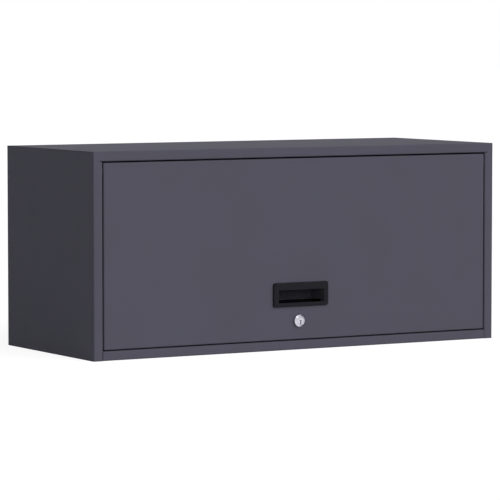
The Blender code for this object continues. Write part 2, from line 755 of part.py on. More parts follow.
def make_door(steel, plated, plastic, chrome, door):
    """Door shell with its pull, hinge pins and lock barrel."""
    body = {"material": steel, "parent": door, "origin": HINGE_POINT}

    # Door skin: a deep tray whose edges are folded back and lipped
    skin = pan(
        "door_skin",
        (-DOOR_HALF_WIDTH, FRONT, DOOR_BOTTOM),
        (DOOR_HALF_WIDTH, SKIN_REAR, DOOR_TOP),
        DOOR_LIP,
        DOOR_EDGE_RADIUS,
        **body,
    )

    # Door liner: closes the back of the skin
    liner_half = DOOR_HALF_WIDTH - LINER_INSET
    liner_outline = rounded_rectangle(
        -liner_half, liner_half, DOOR_BOTTOM + LINER_INSET, DOOR_TOP - LINER_INSET, LINER_CORNER_RADIUS
    )
    liner = extrusion("door_liner", liner_outline, "Y", LINER_FRONT, LINER_REAR, **body)

    # Stiffeners: hat sections between skin and liner
    crown = FRONT + SHEET + SEAM + SHEET
    seat = LINER_FRONT - SEAM
    half = STIFFENER_WIDTH / 2
    stiffener_face = [
        (half + STIFFENER_FLANGE, seat),
        (half, seat),
        (half, crown),
        (-half, crown),
        (-half, seat),
        (-half - STIFFENER_FLANGE, seat),
    ]
    for name, side in SIDES:
        section = [(x + side * DOOR_HALF_WIDTH / 2, y) for x, y in sheet_section(stiffener_face, SHEET)]
        extrusion(
            f"{name}_door_stiffener",
            section,
            "Z",
            DOOR_BOTTOM + DOOR_LIP + SEAM,
            DOOR_TOP - DOOR_LIP - SEAM,
            **body,
        )

    # Hinge plates and pins: the plates back the skin's edge where the pins pass
    plate_outer = DOOR_HALF_WIDTH - SHEET - SEAM
    plate_inner = plate_outer - HINGE_PLATE_SHEET
    head_seat = plate_inner - SEAM
    pin_length = JAMB_FACE + PIN_REACH - head_seat
    pin_profile = [
        (0, pin_length),
        (PIN_RADIUS - PIN_CHAMFER, pin_length),
        (PIN_RADIUS, pin_length - PIN_CHAMFER),
        (PIN_RADIUS, 0),
        (PIN_HEAD_RADIUS, 0),
        (PIN_HEAD_RADIUS, PIN_CHAMFER - PIN_HEAD_LENGTH),
        (PIN_HEAD_RADIUS - PIN_CHAMFER, -PIN_HEAD_LENGTH),
        (0, -PIN_HEAD_LENGTH),
    ]
    for name, side in SIDES:
        plate_x = span(side, plate_inner, plate_outer)
        plate = box(
            f"{name}_hinge_plate",
            (plate_x[0], FRONT + SHEET + SEAM, HINGE_Z - HINGE_PLATE_HEIGHT / 2),
            (plate_x[1], SKIN_REAR - SHEET - SEAM, HINGE_Z + HINGE_PLATE_HEIGHT / 2),
            material=plated,
            parent=door,
            origin=HINGE_POINT,
        )
        chamfer = plate.modifiers.new("Chamfer", "BEVEL")
        chamfer.width = HINGE_PLATE_CHAMFER
        chamfer.segments = 1
        hole = drill(
            f"cut_hinge_pin_{name}",
            (side * (plate_inner + plate_outer) / 2, HINGE_Y, HINGE_Z),
            PIN_RADIUS + SEAM,
            HINGE_PLATE_SHEET + OVERRUN,
            ALONG_X,
        )
        cut(plate, hole)
        cut(skin, hole)
        turned(
            f"{name}_hinge_pin",
            pin_profile,
            material=plated,
            origin=(side * head_seat, HINGE_Y, HINGE_Z),
            parent=door,
            turn=ALONG_X if side > 0 else ALONG_MINUS_X,
        )

    make_pull(plastic, door, skin)
    make_lock_barrel(chrome, plated, door, skin, liner)
    for name, side in SIDES:
        make_door_bracket(name, side, plated, door, liner)


def make_pull(plastic, door, skin):
    """Recessed pull: a raised bezel round a cup, with a ledge along the foot of its back
    and a channel below it, as wide as the mouth, that the fingers hook into."""
    bezel_front = FRONT - PULL_PROUD
    channel_rear = LINER_FRONT - PULL_LINER_CLEARANCE
    slot_back = channel_rear - PULL_WALL
    cup_rear = channel_rear - PULL_BACK_STEP
    cup_back = slot_back - PULL_BACK_STEP
    mouth_half = PULL_MOUTH_WIDTH / 2
    back_half = PULL_BACK_WIDTH / 2
    slope = (back_half - mouth_half) / (cup_back - bezel_front)

    def cavity_half(y):
        return mouth_half + slope * (y - bezel_front)

    bezel_outline = rounded_rectangle(
        -PULL_WIDTH / 2,
        PULL_WIDTH / 2,
        PULL_CENTRE_Z - PULL_HEIGHT / 2,
        PULL_CENTRE_Z + PULL_HEIGHT / 2,
        PULL_CORNER_RADIUS,
    )
    pull = extrusion(
        "pull_handle",
        bezel_outline,
        "Y",
        bezel_front,
        FRONT - SEAM,
        soft_start=PULL_EDGE_RADIUS,
        material=plastic,
        parent=door,
        origin=HINGE_POINT,
    )
    cup_front = FRONT - PULL_PROUD / 2
    cup_low = PULL_BOTTOM - PULL_UNDERCUT - PULL_WALL
    cup_foot = PULL_BOTTOM - PULL_UNDERCUT / 2
    cup_high = PULL_TOP + PULL_WALL
    cup = frustum(
        "join_pull_cup",
        (cavity_half(cup_front) + PULL_WALL, cup_foot, cup_high, cup_front, cup_front),
        (cavity_half(cup_back) + PULL_WALL, cup_foot, cup_high - PULL_DRAFT, cup_rear, cup_rear),
    )
    slot_low = PULL_BOTTOM - PULL_UNDERCUT
    slot_high = PULL_BOTTOM + PULL_SLOT_HEIGHT
    channel = box(
        "join_pull_channel",
        (-mouth_half - PULL_WALL, (bezel_front + cup_front) / 2, cup_low),
        (mouth_half + PULL_WALL, channel_rear, slot_high + PULL_WALL),
    )
    join(pull, cup, channel)
    scoop_front = bezel_front - OVERRUN
    scoop = frustum(
        "cut_pull_scoop",
        (cavity_half(scoop_front), PULL_BOTTOM, PULL_TOP, scoop_front, scoop_front),
        (cavity_half(cup_back), PULL_BOTTOM, PULL_TOP - PULL_DRAFT, cup_back, cup_back),
    )
    cut(pull, scoop)
    ledge_front = cup_back - PULL_LEDGE_STEP
    ledge_rear = cup_back + PULL_WALL / 2
    lip_half = cavity_half(ledge_front) + PULL_WALL / 2
    rise_half = cavity_half(ledge_rear) + PULL_WALL / 2
    ledge = frustum(
        "join_pull_ledge",
        (lip_half, PULL_BOTTOM, slot_high + PULL_LEDGE_LIP, ledge_front, ledge_front),
        (rise_half, PULL_BOTTOM, slot_high + PULL_LEDGE_RISE, ledge_rear, ledge_rear),
    )
    join(pull, ledge)
    slot = box(
        "cut_pull_slot",
        (-mouth_half, FRONT + PULL_WALL, slot_low),
        (mouth_half, slot_back, slot_high),
    )
    cut(pull, slot)
    rib_front = FRONT + SHEET + SEAM
    for name, side in SIDES:
        rib_x = span(side, (PULL_RIB_SPACING - PULL_RIB_WIDTH) / 2, (PULL_RIB_SPACING + PULL_RIB_WIDTH) / 2)
        rib = box(
            f"join_pull_rib_{name}",
            (rib_x[0], rib_front, cup_low - PULL_RIB_HEIGHT),
            (rib_x[1], rib_front + PULL_RIB_DEPTH, cup_low + PULL_WALL / 2),
        )
        top_rib = box(
            f"join_pull_top_rib_{name}",
            (rib_x[0], rib_front, cup_high - PULL_WALL),
            (rib_x[1], rib_front + PULL_RIB_DEPTH, cup_high + PULL_RIB_HEIGHT),
        )
        join(pull, rib, top_rib)
    opening_half = mouth_half + PULL_WALL + PULL_CUTOUT_CLEARANCE
    opening = box(
        "cut_pull_opening",
        (-opening_half, FRONT - OVERRUN, cup_low - PULL_CUTOUT_CLEARANCE),
        (opening_half, FRONT + OVERRUN, cup_high + PULL_CUTOUT_CLEARANCE),
    )
    cut(skin, opening)


def make_lock_barrel(chrome, plated, door, skin, liner):
    """Fixed barrel of the cam lock and the nut that clamps it to the skin."""
    barrel_profile = [
        (LOCK_BORE_RADIUS, LOCK_PROUD),
        (LOCK_HEAD_RADIUS - LOCK_HEAD_CHAMFER, LOCK_PROUD),
        (LOCK_HEAD_RADIUS, LOCK_PROUD - LOCK_HEAD_CHAMFER),
        (LOCK_HEAD_RADIUS, SEAM),
        (LOCK_BARREL_RADIUS, SEAM),
        (LOCK_BARREL_RADIUS, -LOCK_BARREL_END),
        (LOCK_BORE_RADIUS, -LOCK_BARREL_END),
    ]
    turned(
        "lock_barrel",
        barrel_profile,
        steps=LOCK_STEPS,
        material=chrome,
        origin=LOCK_POINT,
        parent=door,
        turn=ALONG_MINUS_Y,
    )
    hole = drill(
        "cut_lock_hole",
        (LOCK_CENTRE_X, FRONT + LOCK_BARREL_END / 2, LOCK_CENTRE_Z),
        LOCK_BARREL_RADIUS + SEAM,
        LOCK_BARREL_END + OVERRUN,
        ALONG_Y,
        steps=LOCK_STEPS,
    )
    cut(skin, hole)
    cut(liner, hole)
    hexagon = [
        (
            LOCK_CENTRE_X + LOCK_NUT_RADIUS * math.cos(math.tau * corner / 6),
            LOCK_CENTRE_Z + LOCK_NUT_RADIUS * math.sin(math.tau * corner / 6),
        )
        for corner in range(6)
    ]
    nut_front = FRONT + SHEET + SEAM
    nut = extrusion(
        "lock_nut",
        hexagon,
        "Y",
        nut_front,
        nut_front + LOCK_NUT_LENGTH,
        material=plated,
        parent=door,
        origin=LOCK_POINT,
    )
    cut(nut, hole)


def make_lock_cylinder(chrome, plated, lock):
    """Turning parts of the cam lock. At rest the lock is open and the cam lies level."""
    plug_radius = LOCK_BORE_RADIUS - RUNNING_CLEARANCE
    plug_front = LOCK_PROUD - PLUG_RECESS
    plug = turned(
        "lock_plug",
        [(0, plug_front), (plug_radius, plug_front), (plug_radius, -LOCK_BARREL_END), (0, -LOCK_BARREL_END)],
        material=chrome,
        origin=LOCK_POINT,
        parent=lock,
        turn=ALONG_MINUS_Y,
    )
    tang_half = PLUG_TANG_WIDTH / 2
    cam_rear = CAM_FRONT + CAM_SHEET
    tang = box(
        "join_plug_tang",
        (LOCK_CENTRE_X - tang_half, FRONT + LOCK_BARREL_END - CAM_SHEET, LOCK_CENTRE_Z - tang_half),
        (LOCK_CENTRE_X + tang_half, cam_rear, LOCK_CENTRE_Z + tang_half),
    )
    join(plug, tang)
    keyway = box(
        "cut_keyway",
        (LOCK_CENTRE_X - KEYWAY_WIDTH / 2, FRONT - LOCK_PROUD - OVERRUN, LOCK_CENTRE_Z - KEYWAY_BOTTOM),
        (LOCK_CENTRE_X + KEYWAY_WIDTH / 2, FRONT - LOCK_PROUD + KEYWAY_DEPTH, LOCK_CENTRE_Z + KEYWAY_TOP),
    )
    screw_seat = cam_rear + SEAM
    screw_hole = drill(
        "cut_cam_screw",
        (LOCK_CENTRE_X, screw_seat, LOCK_CENTRE_Z),
        CAM_SCREW_RADIUS + SEAM,
        (CAM_SCREW_LENGTH + SEAM) * 2,
        ALONG_Y,
        steps=SMALL_TURNED_STEPS,
    )
    cut(plug, keyway, screw_hole)

    cam_outline = rounded_rectangle(
        LOCK_CENTRE_X - CAM_WIDTH / 2,
        LOCK_CENTRE_X + CAM_LENGTH,
        LOCK_CENTRE_Z - CAM_WIDTH / 2,
        LOCK_CENTRE_Z + CAM_WIDTH / 2,
        CAM_CORNER_RADIUS,
    )
    cam = extrusion(
        "lock_cam", cam_outline, "Y", CAM_FRONT, cam_rear, material=plated, parent=lock, origin=LOCK_POINT
    )
    square_half = tang_half + SEAM
    square = box(
        "cut_cam_square",
        (LOCK_CENTRE_X - square_half, CAM_FRONT - OVERRUN, LOCK_CENTRE_Z - square_half),
        (LOCK_CENTRE_X + square_half, cam_rear + OVERRUN, LOCK_CENTRE_Z + square_half),
    )
    cut(cam, square)
    turned(
        "cam_screw",
        screw_profile(CAM_SCREW_RADIUS, CAM_SCREW_LENGTH, CAM_SCREW_HEAD_RADIUS, CAM_SCREW_HEAD_LENGTH),
        steps=SMALL_TURNED_STEPS,
        material=plated,
        origin=(LOCK_CENTRE_X, screw_seat, LOCK_CENTRE_Z),
        parent=lock,
        turn=ALONG_Y,
    )


def screw_profile(radius, length, head_radius, head_length):
    """Pan-head screw with its seat at zero and its head above."""
    return [
        (0, head_length),
        (head_radius * SCREW_CROWN_SHARE, head_length),
        (head_radius, head_length / 2),
        (head_radius, 0),
        (radius, 0),
        (radius, -length),
        (0, -length),
    ]


def make_door_bracket(name, side, plated, door, liner):
    """Angle bracket on the liner with the stud that the strut's rod end meets."""
    base_y = LINER_REAR + SEAM
    face_x = STRUT_X - DOOR_BRACKET_OFFSET
    pivot_y, pivot_z = DOOR_PIVOT.y, DOOR_PIVOT.z
    bracket_face = [
        (-face_x, base_y + DOOR_BRACKET_RISE),
        (-face_x, base_y),
        (DOOR_BRACKET_BASE - face_x, base_y),
    ]
    bracket = extrusion(
        f"{name}_door_strut_bracket",
        mirrored(sheet_section(bracket_face, STRUT_BRACKET_SHEET), side),
        "Z",
        pivot_z - DOOR_BRACKET_HEIGHT / 2,
        pivot_z + DOOR_BRACKET_HEIGHT / 2,
        material=plated,
        parent=door,
        origin=HINGE_POINT,
    )
    stud_hole = drill(
        f"cut_door_stud_{name}",
        (side * (face_x - STRUT_BRACKET_SHEET / 2), pivot_y, pivot_z),
        STUD_SHANK_RADIUS + SEAM,
        STRUT_BRACKET_SHEET + OVERRUN,
        ALONG_X,
        steps=SMALL_TURNED_STEPS,
    )
    cut(bracket, stud_hole)
    tip = -SOCKET_RADIUS - SEAM
    seat = SEAM - DOOR_BRACKET_OFFSET
    neck = [(0, tip), (STUD_NECK_RADIUS, tip), (STUD_NECK_RADIUS, seat + STUD_COLLAR_LENGTH)]
    turned(
        f"{name}_door_stud",
        neck + rivet_profile(seat, STRUT_BRACKET_SHEET),
        steps=SMALL_TURNED_STEPS,
        material=plated,
        origin=(side * STRUT_X, pivot_y, pivot_z),
        parent=door,
        turn=ALONG_X if side > 0 else ALONG_MINUS_X,
    )
    screw_x = side * (face_x - (DOOR_BRACKET_BASE + STRUT_BRACKET_SHEET) / 2)
    screw_seat = base_y + STRUT_BRACKET_SHEET + SEAM
    for level, offset in (("upper", SCREW_SPACING / 2), ("lower", -SCREW_SPACING / 2)):
        place = (screw_x, screw_seat, pivot_z + offset)
        hole = drill(
            f"cut_screw_{name}_{level}",
            place,
            SCREW_RADIUS + SEAM,
            (SCREW_LENGTH + SEAM) * 2,
            ALONG_Y,
            steps=SMALL_TURNED_STEPS,
        )
        cut(bracket, hole)
        cut(liner, hole)
        turned(
            f"{name}_{level}_bracket_screw",
            screw_profile(SCREW_RADIUS, SCREW_LENGTH, SCREW_HEAD_RADIUS, SCREW_HEAD_LENGTH),
            steps=SMALL_TURNED_STEPS,
            material=plated,
            origin=place,
            parent=door,
            turn=ALONG_Y,
        )


def make_cabinet_bracket(name, side, plated, cabinet):
    """Hat bracket welded inside the side panel, with the ball stud that carries the strut."""
    crown = WALL_REACH - STRUT_BRACKET_RISE
    pivot_y, pivot_z = CABINET_PIVOT.y, CABINET_PIVOT.z
    half = STRUT_BRACKET_CROWN / 2
    hat_face = [
        (-WALL_REACH, pivot_z + half + STRUT_BRACKET_FOOT),
        (-WALL_REACH, pivot_z + half),
        (-crown, pivot_z + half),
        (-crown, pivot_z - half),
        (-WALL_REACH, pivot_z - half),
        (-WALL_REACH, pivot_z - half - STRUT_BRACKET_FOOT),
    ]
    bracket = extrusion(
        f"{name}_cabinet_strut_bracket",
        mirrored(sheet_section(hat_face, STRUT_BRACKET_SHEET), side),
        "Y",
        pivot_y - STRUT_BRACKET_WIDTH / 2,
        pivot_y + STRUT_BRACKET_WIDTH / 2,
        material=plated,
        parent=cabinet,
    )
    crown_face = crown - STRUT_BRACKET_SHEET
    hole = drill(
        f"cut_cabinet_stud_{name}",
        (side * (crown + crown_face) / 2, pivot_y, pivot_z),
        STUD_SHANK_RADIUS + SEAM,
        STRUT_BRACKET_SHEET + OVERRUN,
        ALONG_X,
        steps=SMALL_TURNED_STEPS,
    )
    cut(bracket, hole)
    seat = STRUT_X - crown_face + SEAM
    turned(
        f"{name}_cabinet_ball_stud",
        ball_profile(seat + STUD_COLLAR_LENGTH) + rivet_profile(seat, STRUT_BRACKET_SHEET),
        steps=SMALL_TURNED_STEPS,
        material=plated,
        origin=(side * STRUT_X, pivot_y, pivot_z),
        parent=cabinet,
        turn=ALONG_MINUS_X if side > 0 else ALONG_X,
    )


def make_strut(name, side, black, chrome, plastic, cabinet):
    """Gas strut along the line from the cabinet pivot to the door pivot."""
    pivot = Vector((side * STRUT_X, CABINET_PIVOT.y, CABINET_PIVOT.z))
    reach = DOOR_PIVOT - CABINET_PIVOT
    length = reach.length
    lean = Matrix.Rotation(math.atan2(-reach.y, reach.z), 4, "X")
    tube_axis = make_empty(f"{name}_strut_pivot", pivot, cabinet, lean)
    rod_axis = make_empty(f"{name}_strut_slide", pivot, tube_axis, lean)
    tube_pieces = {"origin": pivot, "parent": tube_axis, "turn": lean}
    rod_pieces = {"origin": pivot, "parent": rod_axis, "turn": lean}

    # Tube end socket, bored from the wall side for the ball
    socket = turned(
        f"{name}_tube_socket",
        socket_profile(-SOCKET_NOSE, SOCKET_REACH),
        material=plastic,
        **tube_pieces,
    )
    ball_room = BALL_RADIUS + SEAM
    bore_outer = SOCKET_RADIUS + OVERRUN
    bore = drill(
        f"cut_ball_bore_{name}",
        (side * (STRUT_X + (bore_outer - ball_room) / 2), pivot.y, pivot.z),
        ball_room,
        bore_outer + ball_room,
        ALONG_X,
    )
    cut(socket, bore)

    # Pressure tube, closed at the socket end
    tube_start = SOCKET_REACH + SEAM
    rod_end = length - SOCKET_REACH - SEAM
    tube_end = rod_end - ROD_SHOW
    inner = TUBE_RADIUS - TUBE_WALL
    tube_profile = [
        (0, tube_start),
        (TUBE_RADIUS - TUBE_CHAMFER, tube_start),
        (TUBE_RADIUS, tube_start + TUBE_CHAMFER),
        (TUBE_RADIUS, tube_end - TUBE_CHAMFER),
        (TUBE_RADIUS - TUBE_CHAMFER, tube_end),
        (inner, tube_end),
        (inner, tube_start + TUBE_WALL),
        (0, tube_start + TUBE_WALL),
    ]
    turned(f"{name}_strut_tube", tube_profile, material=black, **tube_pieces)

    # Gland that guides and seals the rod
    gland_outer = inner - SEAM
    gland_bore = ROD_RADIUS + RUNNING_CLEARANCE
    gland_profile = [
        (gland_bore, tube_end),
        (gland_outer, tube_end),
        (gland_outer, tube_end - GLAND_LENGTH),
        (gland_bore, tube_end - GLAND_LENGTH),
    ]
    turned(f"{name}_strut_gland", gland_profile, material=plastic, **tube_pieces)

    # Rod with its piston
    piston_start = tube_start + TUBE_WALL + PISTON_MARGIN
    piston_radius = inner - RUNNING_CLEARANCE
    rod_profile = [
        (0, piston_start),
        (piston_radius, piston_start),
        (piston_radius, piston_start + PISTON_LENGTH),
        (ROD_RADIUS, piston_start + PISTON_LENGTH),
        (ROD_RADIUS, rod_end),
        (0, rod_end),
    ]
    turned(f"{name}_strut_rod", rod_profile, material=chrome, **rod_pieces)
    turned(
        f"{name}_rod_socket",
        socket_profile(length - SOCKET_REACH, length + SOCKET_NOSE),
        material=plastic,
        **rod_pieces,
    )


def socket_profile(start, end):
    """Moulded end of a strut, from start to end along its axis."""
    return [
        (0, start),
        (SOCKET_RADIUS - SOCKET_CHAMFER, start),
        (SOCKET_RADIUS, start + SOCKET_CHAMFER),
        (SOCKET_RADIUS, end - SOCKET_CHAMFER),
        (SOCKET_RADIUS - SOCKET_CHAMFER, end),
        (0, end),
    ]


def main():
    for obj in list(bpy.data.objects):
        bpy.data.objects.remove(obj, do_unlink=True)

    steel = make_material("powder_coated_steel", "53525E", 0.5, 0.0)
    plated = make_material("zinc_plated_steel", "A9ABA8", 0.35, 1.0)
    chrome = make_material("nickel_plated_brass", "D4D3D9", 0.18, 1.0)
    rod_chrome = make_material("chromed_steel", "C9CBD0", 0.12, 1.0)
    plastic = make_material("black_moulded_plastic", "252428", 0.5, 0.0)
    nylon = make_material("black_nylon", "1E1D20", 0.45, 0.0)
    rubber = make_material("black_rubber", "1B1B1C", 0.85, 0.0)
    black = make_material("black_enamelled_tube", "17171A", 0.3, 0.0)

    cabinet = make_empty("cabinet_origin", (0, 0, 0))
    door = make_empty("door_hinge_axis", HINGE_POINT, cabinet)
    lock = make_empty("lock_axis", LOCK_POINT, door)
    make_cabinet(steel, plated, nylon, rubber, cabinet)
    make_door(steel, plated, plastic, chrome, door)
    make_lock_cylinder(chrome, plated, lock)
    for name, side in SIDES:
        make_cabinet_bracket(name, side, plated, cabinet)
        make_strut(name, side, black, rod_chrome, plastic, cabinet)


main()
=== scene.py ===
"""Dresses the garage wall cabinet: a powder-coated sheet-steel body and flip-up door, a recessed
moulded pull, a nickel-plated cam lock and two gas struts, on a pale studio floor."""

from __future__ import annotations

import logging
import math
from dataclasses import dataclass, field
from enum import Enum

import bmesh
import bpy
from mathutils import Matrix, Vector

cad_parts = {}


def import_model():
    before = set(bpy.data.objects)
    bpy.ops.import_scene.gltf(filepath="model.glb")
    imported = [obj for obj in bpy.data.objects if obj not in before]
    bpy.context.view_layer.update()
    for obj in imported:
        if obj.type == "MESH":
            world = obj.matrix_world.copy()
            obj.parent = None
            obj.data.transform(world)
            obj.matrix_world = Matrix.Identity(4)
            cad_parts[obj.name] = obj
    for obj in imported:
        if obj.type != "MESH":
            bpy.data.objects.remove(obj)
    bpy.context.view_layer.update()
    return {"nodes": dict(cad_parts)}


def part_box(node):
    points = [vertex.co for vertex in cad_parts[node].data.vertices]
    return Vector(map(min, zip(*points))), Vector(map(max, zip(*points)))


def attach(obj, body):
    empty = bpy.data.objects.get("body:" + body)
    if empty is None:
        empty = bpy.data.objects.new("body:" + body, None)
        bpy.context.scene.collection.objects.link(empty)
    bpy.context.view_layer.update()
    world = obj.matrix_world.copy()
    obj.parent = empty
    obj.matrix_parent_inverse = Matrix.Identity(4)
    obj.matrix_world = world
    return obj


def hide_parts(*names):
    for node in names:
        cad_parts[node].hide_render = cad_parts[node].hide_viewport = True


LOG = logging.getLogger("wall_cabinet")
MM = 0.001
MERGE_DISTANCE = 0.01 * MM
SLIVER_LENGTH = 0.03 * MM
COPLANAR_ANGLE = math.radians(0.5)
SHARP_ANGLE = math.radians(40)
# Attribute that marks rounded edges for the lighter edge colour: wear, and on the moulded plastic a
# painted highlight
EDGE_LAYER = "edge_share"
# Attribute that marks the finger slot's faces for painted shade
SLOT_SHADE_LAYER = "painted_slot_shade_share"

# Sockets of a Mix node that is set to colours
MIX_FIRST, MIX_SECOND, MIX_RESULT = 6, 7, 2

# Noise of every pattern: its layers of detail, and how strong each finer one is
NOISE_DETAIL, NOISE_ROUGHNESS = 3.0, 0.55

# Spans of noise across which the mottle, a rubbed patch (on the moulded plastic also a painted
# highlight) and the gloss change over
MOTTLE_SPAN, PATCH_SPAN, DRIFT_SPAN = (0.35, 0.65), (0.42, 0.62), (0.3, 0.7)

# Width of a rubbed patch along an edge, which on the moulded plastic is also a painted highlight
PATCH_MM = 9.0

# The wave texture's own factor on its scale
WAVE_FACTOR = 20

Tree = bpy.types.NodeTree
Socket = bpy.types.NodeSocket
BMesh = bmesh.types.BMesh
Profile = list[tuple[float, float]]
Shares = tuple[tuple[float, float], ...]
Place = tuple[float, float, float]


class Axis(Enum):
    """Directions that a turned or stamped piece can face."""

    OUT_LEFT = (-1.0, 0.0, 0.0)
    OUT_RIGHT = (1.0, 0.0, 0.0)
    FRONT = (0.0, -1.0, 0.0)
    REAR = (0.0, 1.0, 0.0)
    UP = (0.0, 0.0, 1.0)
    DOWN = (0.0, 0.0, -1.0)

    def at(self, place: Vector) -> Matrix:
        """Matrix that turns local +Z to this direction and moves the origin to the place."""
        turn = Vector((0, 0, 1)).rotation_difference(Vector(self.value))
        return Matrix.Translation(place) @ turn.to_matrix().to_4x4()


class Side(Enum):
    """The two ends of the cabinet, seen from the front."""

    LEFT = ("left", -1, Axis.OUT_LEFT, Axis.OUT_RIGHT)
    RIGHT = ("right", 1, Axis.OUT_RIGHT, Axis.OUT_LEFT)

    @property
    def word(self) -> str:
        """Name of the side as the frame's nodes spell it."""
        return self.value[0]

    @property
    def sign(self) -> int:
        """Sign of X on this side."""
        return self.value[1]

    @property
    def outward(self) -> Axis:
        """Direction from the middle to this side."""
        return self.value[2]

    @property
    def inward(self) -> Axis:
        """Direction from this side to the middle."""
        return self.value[3]


# Materials


def linear(channel: float) -> float:
    """Linear value of one sRGB channel from 0 to 1."""
    if channel <= 0.04045:
        return channel / 12.92
    return ((channel + 0.055) / 1.055) ** 2.4


def rgba(hex_colour: str) -> tuple[float, ...]:
    """Linear red, green, blue and alpha of an sRGB hex colour."""
    return (*(linear(int(hex_colour[i : i + 2], 16) / 255) for i in (0, 2, 4)), 1.0)


def add_node(tree: Tree, kind: str, inputs: dict | None = None, **settings) -> bpy.types.Node:
    """Adds a node with its settings, values and links.

    Args:
        tree: Tree that gets the node.
        kind: Blender's name for the node.
        inputs: Value, or socket to link from, for each input socket.
        **settings: The node's own settings.

    Returns:
        The new node.
    """
    node = tree.nodes.new(kind)
    for name, value in settings.items():
        setattr(node, name, value)
    for socket, value in (inputs or {}).items():
        if isinstance(value, Socket):
            tree.links.new(value, node.inputs[socket])
        else:
            node.inputs[socket].default_value = value
    return node


def cells(place: Socket, size_mm: float, detail: float = NOISE_DETAIL) -> dict:
    """Inputs of a noise whose cells are about the given size."""
    scale = 1 / (size_mm * MM)
    return {"Vector": place, "Scale": scale, "Detail": detail, "Roughness": NOISE_ROUGHNESS}


@dataclass(frozen=True)
class Finish:
    """Surface of a real material. Sizes of patterns are in millimetres."""

    name: str
    base: str
    shade: str
    mottle_mm: float
    roughness: float
    spread: float
    grain_mm: float
    relief_mm: float
    edge_wear_and_highlight: str
    metallic: float = 0.0
    wear_and_highlight_share: float = 0.5
    specular: float = 0.5

    def build(self) -> bpy.types.Material:
        """Makes the material.

        Returns:
            Principled material with mottled colour, uneven gloss and a grained surface.
        """
        material = bpy.data.materials.new(self.name)
        material.use_nodes = True
        tree = material.node_tree
        shader = tree.nodes["Principled BSDF"]
        place = add_node(tree, "ShaderNodeTexCoord").outputs["Object"]
        shader.inputs["Metallic"].default_value = self.metallic
        shader.inputs["Specular IOR Level"].default_value = self.specular
        tree.links.new(self.colour(tree, place), shader.inputs["Base Color"])
        tree.links.new(self.gloss(tree, place), shader.inputs["Roughness"])
        tree.links.new(self.relief(tree, place), shader.inputs["Normal"])
        material.diffuse_color = rgba(self.base)
        return material

    def clouds(
        self,
        tree: Tree,
        place: Socket,
        size_mm: float,
        span: tuple[float, float],
        ends: tuple[float, float] = (0.0, 1.0),
    ) -> Socket:
        """Cloudy pattern that runs from one value to another.

        Args:
            tree: Tree that gets the nodes.
            place: Coordinates on the object.
            size_mm: Size of a cloud.
            span: Strengths of the noise between which the pattern changes over.
            ends: Values at the two ends of the span.

        Returns:
            Socket that gives the pattern.
        """
        noise = add_node(tree, "ShaderNodeTexNoise", cells(place, size_mm))
        limits = {"From Min": span[0], "From Max": span[1], "To Min": ends[0], "To Max": ends[1]}
        fitted = add_node(
            tree, "ShaderNodeMapRange", {"Value": noise.outputs["Fac"], **limits}
        )
        return fitted.outputs["Result"]

    def colour(self, tree: Tree, place: Socket) -> Socket:
        """Base colour with its mottle, lightened along the edges to the edge colour: rubbed-through
        wear, and on the moulded plastic also a painted highlight.
        """
        clouds = self.clouds(tree, place, self.mottle_mm, MOTTLE_SPAN)
        mottled = add_node(
            tree,
            "ShaderNodeMix",
            {0: clouds, MIX_FIRST: rgba(self.base), MIX_SECOND: rgba(self.shade)},
            data_type="RGBA",
        )
        edge = add_node(tree, "ShaderNodeAttribute", attribute_name=EDGE_LAYER)
        wear_and_highlight_patches = self.clouds(tree, place, PATCH_MM, PATCH_SPAN, (0.0, self.wear_and_highlight_share))
        wear_and_highlight_mask = add_node(
            tree, "ShaderNodeMath", {0: edge.outputs["Fac"], 1: wear_and_highlight_patches}, operation="MULTIPLY"
        )
        edge_wear_and_highlight = add_node(
            tree,
            "ShaderNodeMix",
            {
                0: wear_and_highlight_mask.outputs[0],
                MIX_FIRST: mottled.outputs[MIX_RESULT],
                MIX_SECOND: rgba(self.edge_wear_and_highlight),
            },
            data_type="RGBA",
        )
        return edge_wear_and_highlight.outputs[MIX_RESULT]

    def gloss(self, tree: Tree, place: Socket) -> Socket:
        """Roughness that drifts where the surface has been handled."""
        ends = (self.roughness - self.spread, self.roughness + self.spread)
        return self.clouds(tree, place, self.mottle_mm / 2, DRIFT_SPAN, ends)

    def layers(self) -> tuple[Place, ...]:
        """Size and height in millimetres, and detail, of each layer of grain, coarsest first."""
        return ((self.grain_mm, self.relief_mm, NOISE_DETAIL),)

    def relief(self, tree: Tree, place: Socket) -> Socket:
        """Grain of the surface as bumps, each layer on the one before it."""
        below = {}
        for size_mm, height_mm, detail in self.layers():
            grain = add_node(tree, "ShaderNodeTexNoise", cells(place, size_mm, detail))
            height = {"Height": grain.outputs["Fac"], "Distance": height_mm * MM}
            bump = add_node(tree, "ShaderNodeBump", {**height, "Strength": 1.0, **below})
            below = {"Normal": bump.outputs["Normal"]}
        return below["Normal"]


@dataclass(frozen=True)
class PowderCoat(Finish):
    """Sprayed and baked powder: satin, with orange peel over a finer texture."""

    peel_mm: float = 2.6
    peel_relief_mm: float = 0.02
    peel_detail: float = 1.0

    def layers(self) -> tuple[Place, ...]:
        """Orange peel, with the powder's own grain on it."""
        return ((self.peel_mm, self.peel_relief_mm, self.peel_detail), *super().layers())


@dataclass(frozen=True)
class RolledMetal(Finish):
    """Rolled sheet under a thin plating, with rolling lines along one direction."""

    stretch: Place = (1.0, 1.0, 0.06)

    def relief(self, tree: Tree, place: Socket) -> Socket:
        """Rolling lines, from grain drawn out along the sheet."""
        drawn = add_node(tree, "ShaderNodeMapping", {"Vector": place, "Scale": self.stretch})
        return super().relief(tree, drawn.outputs["Vector"])


